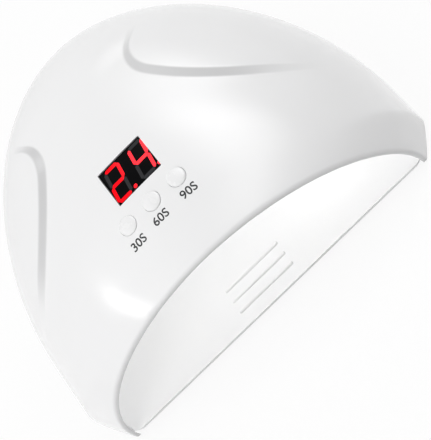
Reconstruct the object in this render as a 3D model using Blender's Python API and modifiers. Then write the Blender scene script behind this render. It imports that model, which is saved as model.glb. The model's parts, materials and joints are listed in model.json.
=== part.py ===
"""Gel curing lamp: a white dome over a hand opening, with a display, three push buttons and a base tray.

Sizes are in metres. The front of the lamp faces -Y, its feet stand on z = 0, and the origin lies under the
middle of the whole lamp. Shapes are worked out in the lamp's own frame, whose y = 0 is the front of the legs
and whose z = 0 is the lower edge of the dome; the empty "lamp_frame" carries that frame to its place.
"""

import math

import bmesh
import bpy
from mathutils import Matrix, Vector

MM = 0.001

# Fits
GAP = 0.3 * MM            # between pieces that rest on or in one another
WALL = 2.0 * MM           # moulded wall of the dome
LINER_WALL = 1.6 * MM     # moulded wall of the light liner

# Dome
DOME_WIDTH = 186.4 * MM
DOME_DEPTH = 154.7 * MM   # legs to rear wall, at the lower edge
DOME_HEIGHT = 82.7 * MM
BROW_HEIGHT = 63.7 * MM   # roof height carried on to the front edge
BROW_LIFT = 1.6 * MM      # the roof flattens by this much just behind the front edge
WIDEST_Y = 40.3 * MM
CREST_Y = 88.8 * MM
PLAN_POWER = 1.84         # how full the rounded rear of the plan is
REAR_POWER = 2.31         # how full the rear profile is
BROW_POWER = 1.71         # how the roof falls from the crest to the front
SECTION_POWERS = (1.92, 2.33, 1.84)   # superellipse powers of the sections at the front, middle and rear
ROLL_IN = 9.7 * MM        # the legs turn in by this much at the front
ROLL_LENGTH = 15.4 * MM
ROLL_POWER = 1.44
LEAN = 0.152              # the front arch leans forward by this share of its height
LEAN_LENGTH = 60.0 * MM
NOSE_RADIUS = 1.7 * MM    # rounded front rim

# Grip recesses on the shoulders
GRIP_DEPTH = 2.2 * MM
GRIP_STEP = 4.2 * MM      # width of the slope into the recess
GRIP_INNER_X = 26.0 * MM
GRIP_FRONT_Y = 30.0 * MM  # where the front edge ends up on the flank
GRIP_RUN_Y = 45.0 * MM    # how far behind that it starts
GRIP_SWEEP = 25.0 * MM
GRIP_BACK_Y = 81.0 * MM
GRIP_BACK_SLOPE = 0.576
GRIP_CORNER = 5.0 * MM
GRIP_FADE_LOW = 36.0 * MM
GRIP_FADE_HIGH = 62.0 * MM
GRIP_FADE_REAR = (104.0 * MM, 138.0 * MM)

# Light liner
LINER_SIDE_GAP = 14.2 * MM    # dome wall to liner at the widest place
LINER_BOARD_GAP = 2.8 * MM    # the liner's roof lies this far under the control board's components
LINER_REAR_GAP = 20.7 * MM
LINER_BARREL = 76.0 * MM      # the liner is a straight vault up to here, then rounds off
LINER_POWER = 2.2
LINER_SECTION_POWER = 2.3
LINER_FRONT_Y = 3.0 * MM
LINER_FLANGE = 2.0 * MM

# Base tray and feet
TRAY_THICKNESS = 2.5 * MM
TRAY_FRONT_Y = 0.3 * MM
TRAY_CORNER = 5.0 * MM
RIB_LENGTH = 30.6 * MM
RIB_WIDTH = 1.8 * MM
RIB_HEIGHT = 0.8 * MM
RIB_PITCH = 6.5 * MM
RIB_FIRST_Y = 8.0 * MM
RIB_COUNT = 3
PEG_RADIUS = 2.0 * MM
PEG_HEIGHT = 6.0 * MM
PEG_SIDE_Y = 62.0 * MM
PEG_REAR_X = 24.0 * MM
PEG_REAR_INSET = 13.7 * MM
FOOT_RADIUS = 5.0 * MM
FOOT_HEIGHT = 1.5 * MM        # floor to the underside of the tray
FOOT_CHAMFER = 0.45 * MM
FOOT_INSET = 16.0 * MM          # dome wall to the middle of a foot
FOOT_FRONT_Y = 18.0 * MM
FOOT_REAR_Y = 116.0 * MM

# Control panel
PANEL_DOME_Y = 42.0 * MM      # station of the dome under the middle of the display
WINDOW_WIDTH = 22.7 * MM
WINDOW_HEIGHT = 16.0 * MM
DISPLAY_SINK = 0.7 * MM       # display face under the panel's plane
DISPLAY_DEPTH = 9.0 * MM
BUTTON_NAMES = ("timer_button_30", "timer_button_60", "timer_button_90")
BUTTON_PITCH = 13.2 * MM
BUTTON_DROP = 16.6 * MM       # display centre to button row
BUTTON_RADIUS = 3.75 * MM
BUTTON_PROUD = 0.9 * MM
BUTTON_EDGE = 0.3 * MM        # upright edge of a cap over the panel, under its domed top
BUTTON_TRAVEL = 0.7 * MM
BUTTON_FLANGE = 1.1 * MM      # the retaining flange stands out by this much under the wall
FLANGE_THICKNESS = 1.0 * MM
FLANGE_ROOM = 0.9 * MM        # free height under the curved wall
STEM_RADIUS = 1.6 * MM
SWITCH_SIDE = 6.0 * MM
SWITCH_HEIGHT = 2.9 * MM
PLUNGER_RADIUS = 1.6 * MM
PLUNGER_PROUD = 1.0 * MM
PLUNGER_DEPTH = 1.2 * MM      # part of the plunger inside its switch

# Control board
BOARD_WIDTH = 52.0 * MM
BOARD_REAR = 13.0 * MM        # display centre to the board's rear edge
BOARD_FRONT = 26.0 * MM       # display centre to the board's front edge
BOARD_THICKNESS = 1.6 * MM
STANDOFF_EDGE = 4.5 * MM      # standoffs to the board's side edges
STANDOFF_DROP = 4.0 * MM
STANDOFF_RADIUS = 2.6 * MM
CHIP_SIZE = (10.0 * MM, 4.0 * MM, 1.6 * MM)
CHIP_PLACE = (-6.0 * MM, -14.0 * MM)
DRIVER_SIZE = (6.6 * MM, 6.1 * MM, 2.3 * MM)
DRIVER_PLACE = (10.0 * MM, -14.0 * MM)
CAPACITOR_RADIUS = 3.15 * MM
CAPACITOR_HEIGHT = 5.4 * MM
CAPACITOR_CHAMFER = 0.5 * MM
CAPACITOR_EDGE = 10.0 * MM    # capacitor to the board's right edge
CAPACITOR_PLACE = (BOARD_WIDTH / 2 - CAPACITOR_EDGE, 6.0 * MM)
PLUG_SIZE = (7.5 * MM, 5.0 * MM, 3.4 * MM)
POWER_PLUG_PLACE = (2.0 * MM, 8.0 * MM)
LED_PLUG_EDGE = 12.0 * MM     # light plug to the board's left edge
LED_PLUG_PLACE = (LED_PLUG_EDGE - BOARD_WIDTH / 2, 7.0 * MM)

# Light sources
STRIP_NAMES = ("front", "middle", "rear")
STRIP_FIRST_Y = 20.0 * MM
STRIP_WIDTH = 9.0 * MM
STRIP_THICKNESS = 0.8 * MM
STRIP_SPREAD = math.radians(66.0)
LEDS_PER_STRIP = 6
LED_SPREAD = math.radians(60.0)
LED_RADIUS = 2.5 * MM
LED_LENS = 1.5 * MM           # height of the lens inside the liner
LINK_RADIUS = 0.6 * MM
LINK_ANGLE = math.radians(8.0)
LEAD_STRAIGHT = 0.1           # share of the light lead that hangs straight at each end

# Power inlet
JACK_Z = 11.0 * MM            # axis above the lower edge of the dome
JACK_FLANGE_RADIUS = 5.6 * MM
JACK_FLANGE = 1.6 * MM
JACK_BARREL_RADIUS = 4.0 * MM
JACK_LENGTH = 12.0 * MM       # from the flange inwards
JACK_BORE_RADIUS = 3.1 * MM
JACK_BORE_DEPTH = 9.5 * MM    # from the flange's outer face
JACK_PIN_RADIUS = 1.0 * MM
JACK_TAIL = 3.0 * MM          # the pin reaches out of the jack's rear by this much
NUT_FLATS = 10.0 * MM
NUT_THICKNESS = 2.2 * MM
NUT_SIDES = 6
LEAD_RADIUS = 1.1 * MM
LEAD_RUN = 3.3 * MM           # straight run of the power lead at its plug

# Screws
SCREW_RADIUS = 1.1 * MM
SCREW_LENGTH = 9.0 * MM
SCREW_HEAD_RADIUS = 2.4 * MM
SCREW_HEAD = 1.6 * MM
SCREW_HEAD_CHAMFER = 0.5 * MM
SCREW_TIP_RADIUS = 0.55 * MM
SCREW_TIP = 1.1 * MM          # length of the tapered tip
BOARD_SCREW_LENGTH = 4.6 * MM
POST_RADIUS = 3.2 * MM
POST_FRONT_Y = 36.0 * MM
POST_REAR_Y = 126.0 * MM
BOSS_HEIGHT = 5.0 * MM        # liner boss under each post
BOSS_RIM = 0.6 * MM           # the boss is wider than its post by this much

# Mesh fineness
ARC_STEPS = 34
FRONT_ROWS = 4
MIDDLE_ROWS = 9
REAR_ROWS = 9
NOSE_ROWS = 3
LINER_ARC_STEPS = 28
LINER_REAR_ROWS = 7
STRIP_STEPS = 20
LEAD_STEPS = 9
RIM_SIDES = 24
ROUND_SIDES = 16
SMALL_SIDES = 10
CORNER_STEPS = 5
CAP_STEPS = 4
LENS_STEPS = 3
LEAD_BEVEL_STEPS = 2
HALVINGS = 40                 # steps of a search by halving
MERGE = 0.01 * MM
SMOOTH_ANGLE = math.radians(35.0)

# Heights in the lamp's frame, whose z = 0 is the lower edge of the dome
TRAY_TOP = TRAY_THICKNESS
LINER_FLOOR = TRAY_TOP + GAP
LINER_HALF_WIDTH = DOME_WIDTH / 2 - WALL - LINER_SIDE_GAP
LINER_END = DOME_DEPTH - WALL - LINER_REAR_GAP
BOSS_TOP = LINER_FLOOR + BOSS_HEIGHT
POST_FOOT = BOSS_TOP + GAP
SCREW_SEAT = LINER_FLOOR + SCREW_HEAD + 2 * GAP   # face over a liner screw's head
SCREW_BORE = SCREW_RADIUS + GAP
BEYOND = 30.0 * MM            # cutters reach past what they cut by this much
PANEL_CUT = 3 * WALL          # cutters through the panel reach this far to either side of the surface
LED_CUT = 3 * LINER_WALL      # the same for the lamp holes in the liner
POLE_Z = 2.0 * MM             # the round rear closes at this height, and is upright below it
FOOT_ANGLE = math.radians(88.5)   # arches are upright below this angle from their tops

# Depths under the panel's plane, along its normal
BOARD_TOP = -(DISPLAY_SINK + DISPLAY_DEPTH + GAP)
BOARD_UNDER = BOARD_TOP - BOARD_THICKNESS
SWITCH_FOOT = BOARD_TOP + GAP
SWITCH_TOP = SWITCH_FOOT + SWITCH_HEIGHT
PLUNGER_TOP = SWITCH_TOP + PLUNGER_PROUD
FLANGE_UNDER = -(WALL + FLANGE_ROOM + FLANGE_THICKNESS)   # under the dome's surface at a button
STANDOFF_X = BOARD_WIDTH / 2 - STANDOFF_EDGE

COLOURS = {
    "white_shell": ((0.86, 0.86, 0.86), 0.22, 0.0),
    "white_liner": ((0.80, 0.80, 0.80), 0.40, 0.0),
    "white_tray": ((0.86, 0.86, 0.86), 0.35, 0.0),
    "white_button": ((0.88, 0.88, 0.88), 0.30, 0.0),
    "rubber": ((0.10, 0.10, 0.10), 0.80, 0.0),
    "display_black": ((0.01, 0.01, 0.01), 0.18, 0.0),
    "board_green": ((0.02, 0.16, 0.06), 0.45, 0.0),
    "strip_white": ((0.75, 0.75, 0.72), 0.50, 0.0),
    "led_yellow": ((0.80, 0.72, 0.32), 0.15, 0.0),
    "chip_black": ((0.02, 0.02, 0.02), 0.50, 0.0),
    "switch_black": ((0.03, 0.03, 0.03), 0.55, 0.0),
    "capacitor_sleeve": ((0.03, 0.04, 0.10), 0.35, 0.0),
    "plug_cream": ((0.78, 0.74, 0.62), 0.50, 0.0),
    "jack_black": ((0.02, 0.02, 0.02), 0.40, 0.0),
    "plated_metal": ((0.72, 0.70, 0.66), 0.30, 1.0),
    "screw_steel": ((0.55, 0.55, 0.56), 0.35, 1.0),
    "lead_black": ((0.02, 0.02, 0.02), 0.50, 0.0),
    "link_red": ((0.45, 0.02, 0.02), 0.45, 0.0),
}


def clamp(value):
    """Limit a value to the span from 0 to 1."""
    return min(max(value, 0.0), 1.0)


def ease(value, low, high):
    """Rise smoothly from 0 at low to 1 at high."""
    share = clamp((value - low) / (high - low))
    return share * share * (3.0 - 2.0 * share)


def soft_min(a, b, radius):
    """Smaller of two distances, with the corner between them rounded."""
    share = max(radius - abs(a - b), 0.0) / radius
    return min(a, b) - share * share * radius / 4.0


def rounded_end(share, power):
    """Superelliptic fall from 1 to 0 as share goes from 0 to 1."""
    return (1.0 - clamp(share) ** power) ** (1.0 / power)


def dome_half_width(y, inset):
    """Half width of the dome at station y, with its surface moved in by inset."""
    reach = DOME_DEPTH - inset - WIDEST_Y
    roll = max(1.0 - y / ROLL_LENGTH, 0.0) ** ROLL_POWER
    return (DOME_WIDTH / 2 - inset) * rounded_end((y - WIDEST_Y) / reach, PLAN_POWER) - ROLL_IN * roll


def dome_height(y, inset):
    """Height of the dome's roof at station y, with its surface moved in by inset."""
    if y > CREST_Y:
        reach = DOME_DEPTH - inset - CREST_Y
        return (DOME_HEIGHT - inset) * rounded_end((y - CREST_Y) / reach, REAR_POWER)
    roll = max(1.0 - y / ROLL_LENGTH, 0.0) ** ROLL_POWER
    fall = ((CREST_Y - y) / CREST_Y) ** BROW_POWER
    return DOME_HEIGHT - inset - (DOME_HEIGHT - BROW_HEIGHT) * fall + BROW_LIFT * roll


def dome_power(y):
    """Superellipse power of the section at station y."""
    front, middle, rear = SECTION_POWERS
    share = clamp(y / DOME_DEPTH)
    return (front * (1 - share) * (1 - 2 * share) + 4 * middle * share * (1 - share)
            + rear * share * (2 * share - 1))


def arc_point(half_width, height, power, angle):
    """Point x, z of a superelliptic arch; angle is 0 at the top and a quarter turn at each foot."""
    x = half_width * math.copysign(abs(math.sin(angle)) ** (2.0 / power), angle)
    return x, height * max(math.cos(angle), 0.0) ** (2.0 / power)


def lean(y, z):
    """Forward lean of the front arch at station y and height z."""
    return LEAN * max(1.0 - y / LEAN_LENGTH, 0.0) * z


def grip_depth(point):
    """Depth of the shoulder's grip recess under a point of the plain dome."""
    x = abs(point.x)
    front = GRIP_FRONT_Y + GRIP_RUN_Y * math.exp((GRIP_INNER_X - x) / GRIP_SWEEP)
    mean_slope = GRIP_RUN_Y / GRIP_SWEEP / 2
    from_front = (point.y - front) * math.cos(math.atan(mean_slope))
    back = GRIP_INNER_X + max(point.y - GRIP_BACK_Y, 0.0) * GRIP_BACK_SLOPE
    from_back = (x - back) * math.cos(math.atan(GRIP_BACK_SLOPE))
    inside = soft_min(from_front, from_back, GRIP_CORNER)
    fade = ease(point.z, GRIP_FADE_LOW, GRIP_FADE_HIGH) * (1.0 - ease(point.y, *GRIP_FADE_REAR))
    return GRIP_DEPTH * fade * ease(inside, 0.0, GRIP_STEP)


def dome_point(y, angle, inset):
    """Point of the dome's surface, moved in by inset, with the grip recess pressed in."""
    x, z = arc_point(dome_half_width(y, inset), dome_height(y, inset), dome_power(y), angle)
    point = Vector((x, y - lean(y, z), z))
    inward = Vector((-x, 0.0, -z)).normalized() if z > 0.0 else Vector((-math.copysign(1.0, x), 0.0, 0.0))
    return point + inward * grip_depth(point)


def quarter_turns(steps):
    """Evenly stepped angles from 0 to a quarter turn."""
    return [math.pi / 2 * i / steps for i in range(steps + 1)]


def arc_angles(steps):
    """Evenly stepped angles across an arch, from just above the left foot to just above the right foot."""
    return [FOOT_ANGLE * (2.0 * i / steps - 1.0) for i in range(steps + 1)]


def dome_stations(start, inset):
    """Stations along the dome, closer together at the rolled front and at the round rear."""
    front = [start + (ROLL_LENGTH - start) * (i / FRONT_ROWS) for i in range(FRONT_ROWS)]
    middle = [ROLL_LENGTH + (CREST_Y - ROLL_LENGTH) * (i / MIDDLE_ROWS) for i in range(MIDDLE_ROWS)]
    reach = DOME_DEPTH - inset - CREST_Y
    rear = [CREST_Y + reach * math.sin(math.pi / 2 * i / REAR_ROWS) for i in range(REAR_ROWS)]
    return front + middle + rear


def dome_section(y, inset):
    """Closed section of the dome at station y, carried on below its feet."""
    return below([dome_point(y, angle, inset) for angle in arc_angles(ARC_STEPS)])


def below(arch):
    """Closed section of an arch that runs on below the lower edge of the dome, where it is cut flat later."""
    left, right = arch[0], arch[-1]
    return [Vector((left.x, left.y, -BEYOND)), *arch, Vector((right.x, right.y, -BEYOND))]


def liner_top():
    """Height of the liner's roof, clear of the control board and of all that hangs from it."""
    boxes = ((CHIP_PLACE, CHIP_SIZE), (DRIVER_PLACE, DRIVER_SIZE),
             (POWER_PLUG_PLACE, PLUG_SIZE), (LED_PLUG_PLACE, PLUG_SIZE))
    edges = [(place[1] - size[1] / 2, GAP + size[2]) for place, size in boxes]
    edges += [(-BOARD_FRONT, 0.0), (CAPACITOR_PLACE[1] - CAPACITOR_RADIUS, GAP + CAPACITOR_HEIGHT)]
    return min(panel_to_frame((0.0, v, BOARD_UNDER - drop)).z for v, drop in edges) - LINER_BOARD_GAP


def liner_half_width(y, inset):
    """Half width of the liner's vault at station y, moved in by inset."""
    reach = LINER_END - inset - LINER_BARREL
    return (LINER_HALF_WIDTH - inset) * rounded_end((y - LINER_BARREL) / reach, LINER_POWER)


def liner_height(y, inset):
    """Height of the liner's vault at station y, moved in by inset."""
    reach = LINER_END - inset - LINER_BARREL
    return (liner_top() - inset) * rounded_end((y - LINER_BARREL) / reach, LINER_POWER)


def liner_frame(angle):
    """Point on the straight vault's outer face at this angle, and the outward direction there."""
    top = liner_top()
    x, z = arc_point(LINER_HALF_WIDTH, top, LINER_SECTION_POWER, angle)
    slope = LINER_SECTION_POWER - 1.0
    across = math.copysign(abs(x / LINER_HALF_WIDTH) ** slope, x) / LINER_HALF_WIDTH
    upward = (z / top) ** slope / top
    return Vector((x, 0.0, z)), Vector((across, 0.0, upward)).normalized()


def strip_station(index):
    """Station of one light strip's middle."""
    last = LINER_BARREL - STRIP_WIDTH / 2
    return STRIP_FIRST_Y + (last - STRIP_FIRST_Y) * index / (len(STRIP_NAMES) - 1)


def led_angles():
    """Angles of the lamps along a strip."""
    return [LED_SPREAD * (2.0 * i / (LEDS_PER_STRIP - 1) - 1.0) for i in range(LEDS_PER_STRIP)]


def side_middle(y):
    """Middle of the space between the liner and the dome's wall at station y."""
    return (dome_half_width(y, WALL) + liner_half_width(y, 0.0)) / 2


def post_places():
    """Screw posts between the dome and the liner, as x, y."""
    return [(side * side_middle(y), y) for y in (POST_FRONT_Y, POST_REAR_Y) for side in (-1, 1)]


def peg_places():
    """Locating pegs of the tray, as x, y."""
    side = [(sign * side_middle(PEG_SIDE_Y), PEG_SIDE_Y) for sign in (-1, 1)]
    return side + [(sign * PEG_REAR_X, DOME_DEPTH - PEG_REAR_INSET) for sign in (-1, 1)]


def foot_places():
    """Feet under the tray, as x, y."""
    return [(side * (dome_half_width(y, WALL) - FOOT_INSET), y)
            for y in (FOOT_FRONT_Y, FOOT_REAR_Y) for side in (-1, 1)]


def panel_drop(x, v):
    """Height of the dome's surface over the panel's plane, at x across and v up the slope."""
    tilt = panel_tilt()
    plane_y = panel_origin().y + v * math.cos(tilt)
    low, high = 0.0, CREST_Y
    for _ in range(HALVINGS):
        y = (low + high) / 2
        half, top, power = dome_half_width(y, 0.0), dome_height(y, 0.0), dome_power(y)
        z = top * (1.0 - (abs(x) / half) ** power) ** (1.0 / power)
        if y - lean(y, z) < plane_y:
            low = y
        else:
            high = y
    return (z - panel_origin().z - v * math.sin(tilt)) * math.cos(tilt)


def panel_origin():
    """Middle of the display, on the dome's surface."""
    return dome_point(PANEL_DOME_Y, 0.0, 0.0)


def panel_tilt():
    """Slope of the dome from the button row up to the middle of the display."""
    rise = panel_origin() - dome_point(PANEL_DOME_Y - BUTTON_DROP, 0.0, 0.0)
    return math.atan2(rise.z, rise.y)


def panel_to_frame(point):
    """Point of the control panel's frame in the lamp's frame."""
    return panel_origin() + Matrix.Rotation(panel_tilt(), 3, "X") @ Vector(point)


def front_reach():
    """Foremost y of the dome in the lamp's frame, at the top of the leaning arch."""
    return min(dome_point(NOSE_RADIUS * (1 - math.sin(turn)), 0.0, NOSE_RADIUS * (1 - math.cos(turn))).y
               for turn in nose_turns())


def nose_turns():
    """Angles of the rounded front rim, from its inner edge to the outer surface."""
    return [math.pi / 2 * (1.0 - i / NOSE_ROWS) for i in range(NOSE_ROWS)]


def add_rod(bm, start, end, radius, sides, end_radius=None):
    """Add a capped cylinder or cone between two points."""
    start, end = Vector(start), Vector(end)
    axis = end - start
    turn = Vector((0.0, 0.0, 1.0)).rotation_difference(axis).to_matrix().to_4x4()
    bmesh.ops.create_cone(
        bm, cap_ends=True, segments=sides, radius1=radius,
        radius2=radius if end_radius is None else end_radius,
        depth=axis.length, matrix=Matrix.Translation((start + end) / 2) @ turn)


def add_box(bm, low, high):
    """Add a box between two corners."""
    low, high = Vector(low), Vector(high)
    size = high - low
    place = Matrix.Translation((low + high) / 2) @ Matrix.Diagonal((size.x, size.y, size.z, 1.0))
    bmesh.ops.create_cube(bm, size=1.0, matrix=place)


def add_loft(bm, sections, rear=None):
    """Skin closed sections of equal count, capped at both ends.

    With rear, the last section closes on an upright edge at that point: its first and last points meet
    the edge's foot, and all others its top.
    """
    rings = [[bm.verts.new(point) for point in section] for section in sections]
    if rear is not None:
        top = bm.verts.new(rear)
        foot = bm.verts.new((rear[0], rear[1], sections[-1][0].z))
        rings.append([foot] + [top] * (len(rings[0]) - 2) + [foot])
    count = len(rings[0])
    for ring, following in zip(rings, rings[1:]):
        for i in range(count):
            j = (i + 1) % count
            corners = (ring[i], following[i], following[j], ring[j])
            bm.faces.new(list(dict.fromkeys(corners)))
    bm.faces.new(rings[0])
    if rear is None:
        bm.faces.new(rings[-1])
    bmesh.ops.triangulate(bm, faces=bm.faces)
    bmesh.ops.recalc_face_normals(bm, faces=bm.faces)


class Workshop:
    """Collections, empties and materials that the pieces share."""

    def __init__(self):
        for obj in list(bpy.data.objects):
            bpy.data.objects.remove(obj, do_unlink=True)
        self.parts = self.collection("curing_lamp")
        self.cutters = self.collection("curing_lamp_cutters")
        self.frame = self.empty("lamp_frame", None, (0.0, self.frame_y(), FOOT_HEIGHT), 0.0)
        self.panel = self.empty("control_panel", self.frame, panel_origin(), panel_tilt())
        self.finishes = {}

    @staticmethod
    def frame_y():
        """Shift that puts the whole lamp's middle over the origin."""
        rear = DOME_DEPTH + GAP + JACK_FLANGE
        return -(front_reach() + rear) / 2

    @staticmethod
    def collection(name):
        """New collection in the scene."""
        group = bpy.data.collections.new(name)
        bpy.context.scene.collection.children.link(group)
        return group

    def empty(self, name, parent, location, tilt):
        """Empty that carries a frame of its own."""
        holder = bpy.data.objects.new(name, None)
        self.parts.objects.link(holder)
        holder.parent = parent
        holder.location = location
        holder.rotation_euler = (tilt, 0.0, 0.0)
        return holder

    def finish(self, name):
        """Material with this finish, made once."""
        if name not in self.finishes:
            colour, roughness, metallic = COLOURS[name]
            material = bpy.data.materials.new(name)
            material.use_nodes = True
            shader = material.node_tree.nodes["Principled BSDF"]
            shader.inputs["Base Color"].default_value = (*colour, 1.0)
            shader.inputs["Roughness"].default_value = roughness
            shader.inputs["Metallic"].default_value = metallic
            self.finishes[name] = material
        return self.finishes[name]

    def part(self, name, bm, finish, parent=None, location=(0.0, 0.0, 0.0)):
        """Named piece made from a mesh that is worked out in its parent's frame."""
        obj = self.mesh_object(name, bm, self.parts, parent, location)
        obj.data.materials.append(self.finish(finish))
        obj.data.shade_smooth()
        obj.data.set_sharp_from_angle(angle=SMOOTH_ANGLE)
        return obj

    def cutter(self, name, bm, parent=None):
        """Guide that only cuts or joins."""
        obj = self.mesh_object(name, bm, self.cutters, parent, (0.0, 0.0, 0.0))
        obj.hide_render = True
        obj.display_type = "WIRE"
        return obj

    def mesh_object(self, name, bm, group, parent, location):
        """Object with the mesh held in bm, at a place in its parent's frame."""
        mesh = bpy.data.meshes.new(name)
        bm.to_mesh(mesh)
        bm.free()
        obj = bpy.data.objects.new(name, mesh)
        group.objects.link(obj)
        obj.parent = parent or self.frame
        obj.location = location
        return obj

    def turned(self, name, profile, finish, sides, parent=None, location=(0.0, 0.0, 0.0),
               tilt=(0.0, 0.0, 0.0)):
        """Turned piece: r, z points down its outside, closed into a ring if they start off the axis."""
        bm = bmesh.new()
        verts = [bm.verts.new((radius, 0.0, height)) for radius, height in profile]
        for upper, lower in zip(verts, verts[1:]):
            bm.edges.new((upper, lower))
        if profile[0][0] > 0.0:
            bm.edges.new((verts[-1], verts[0]))
        obj = self.mesh_object(name, bm, self.parts, parent, location)
        obj.rotation_euler = tilt
        obj.data.materials.append(self.finish(finish))
        screw = obj.modifiers.new("turn", "SCREW")
        screw.steps = sides
        screw.render_steps = sides
        screw.use_merge_vertices = True
        screw.merge_threshold = MERGE
        screw.use_smooth_shade = True
        return obj

    def lead(self, name, points, radius, finish, parent=None):
        """Round lead along points, with filled caps."""
        curve = bpy.data.curves.new(name, "CURVE")
        curve.dimensions = "3D"
        curve.bevel_depth = radius
        curve.bevel_resolution = LEAD_BEVEL_STEPS
        curve.use_fill_caps = True
        spline = curve.splines.new("POLY")
        spline.points.add(len(points) - 1)
        for spot, point in zip(spline.points, points):
            spot.co = (*point, 1.0)
        obj = bpy.data.objects.new(name, curve)
        self.parts.objects.link(obj)
        obj.parent = parent or self.frame
        curve.materials.append(self.finish(finish))
        return obj


def combine(target, tool, operation):
    """Boolean modifier on target with the tool as operand."""
    modifier = target.modifiers.new(tool.name, "BOOLEAN")
    modifier.operation = operation
    modifier.solver = "EXACT"
    modifier.object = tool


def dome_block(bm):
    """Closed block of the dome with its rounded front rim."""
    rim = [dome_section(NOSE_RADIUS * (1 - math.sin(turn)), NOSE_RADIUS * (1 - math.cos(turn)))
           for turn in nose_turns()]
    body = [dome_section(y, 0.0) for y in dome_stations(NOSE_RADIUS, 0.0)]
    add_loft(bm, rim + body, rear=(0.0, DOME_DEPTH, POLE_Z))


def hollow_block(bm, inset, front):
    """Closed block of the space inside the dome's wall, from station front to the rear."""
    rows = [dome_section(y, inset) for y in dome_stations(front, inset)]
    add_loft(bm, rows, rear=(0.0, DOME_DEPTH - inset, POLE_Z))


def add_floor(bm, top):
    """Slab under everything, up to the height top."""
    add_box(bm, (-DOME_WIDTH, -DOME_DEPTH, -BEYOND * 2), (DOME_WIDTH, DOME_DEPTH * 2, top))


def make_top_shell(shop):
    """Dome with its posts, standoffs, display window, button holes and inlet hole."""
    bm = bmesh.new()
    dome_block(bm)
    shell = shop.part("top_shell", bm, "white_shell")

    bm = bmesh.new()
    hollow_block(bm, WALL, -NOSE_RADIUS * 2)
    hollow = shop.cutter("dome_hollow", bm)

    bm = bmesh.new()
    for x, y in post_places():
        add_rod(bm, (x, y, POST_FOOT), (x, y, DOME_HEIGHT + BEYOND), POST_RADIUS, ROUND_SIDES)
    combine(hollow, shop.cutter("shell_posts", bm), "DIFFERENCE")

    bm = bmesh.new()
    for side in (-1, 1):
        foot = Vector((side * STANDOFF_X, -STANDOFF_DROP, BOARD_TOP + GAP))
        add_rod(bm, foot, foot + Vector((0.0, 0.0, BEYOND)), STANDOFF_RADIUS, ROUND_SIDES)
    combine(hollow, shop.cutter("board_standoffs", bm, shop.panel), "DIFFERENCE")
    combine(shell, hollow, "DIFFERENCE")

    bm = bmesh.new()
    add_floor(bm, 0.0)
    combine(shell, shop.cutter("lower_edge", bm), "DIFFERENCE")

    bm = bmesh.new()
    half = Vector((WINDOW_WIDTH / 2, WINDOW_HEIGHT / 2, 0.0))
    reach = Vector((0.0, 0.0, PANEL_CUT))
    add_box(bm, -half - reach, half + reach)
    for x in button_columns():
        middle = Vector((x, -BUTTON_DROP, panel_drop(x, -BUTTON_DROP)))
        add_rod(bm, middle - reach, middle + reach, BUTTON_RADIUS + GAP, RIM_SIDES)
    for side in (-1, 1):
        top = Vector((side * STANDOFF_X, -STANDOFF_DROP, BOARD_TOP + BOARD_SCREW_LENGTH - BOARD_THICKNESS))
        add_rod(bm, top - Vector((0.0, 0.0, BEYOND)), top, SCREW_BORE, SMALL_SIDES)
    combine(shell, shop.cutter("panel_openings", bm, shop.panel), "DIFFERENCE")

    bm = bmesh.new()
    add_rod(bm, (0.0, DOME_DEPTH - BEYOND, JACK_Z), (0.0, DOME_DEPTH + BEYOND, JACK_Z),
            JACK_BARREL_RADIUS + GAP, RIM_SIDES)
    for x, y in post_places():
        add_rod(bm, (x, y, 0.0), (x, y, SCREW_SEAT + SCREW_LENGTH + GAP), SCREW_BORE, SMALL_SIDES)
    combine(shell, shop.cutter("shell_bores", bm), "DIFFERENCE")


def button_columns():
    """Places of the buttons across the panel."""
    middle = (len(BUTTON_NAMES) - 1) / 2
    return [BUTTON_PITCH * (i - middle) for i in range(len(BUTTON_NAMES))]


def liner_rows(inset, front):
    """Sections of the liner's vault, moved in by inset, from the plane y = front to its round rear."""
    reach = LINER_END - inset - LINER_BARREL
    stations = [front, LINER_BARREL]
    stations += [LINER_BARREL + reach * math.sin(math.pi / 2 * i / LINER_REAR_ROWS)
                 for i in range(1, LINER_REAR_ROWS)]
    rows = []
    for y in stations:
        half, top = liner_half_width(y, inset), liner_height(y, inset)
        arch = [arc_point(half, top, LINER_SECTION_POWER, angle) for angle in arc_angles(LINER_ARC_STEPS)]
        rows.append(below([Vector((x, y, z)) for x, z in arch]))
    return rows


def add_vault(bm, inset, front):
    """Closed block of the liner's vault."""
    add_loft(bm, liner_rows(inset, front), rear=(0.0, LINER_END - inset, POLE_Z))


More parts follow.
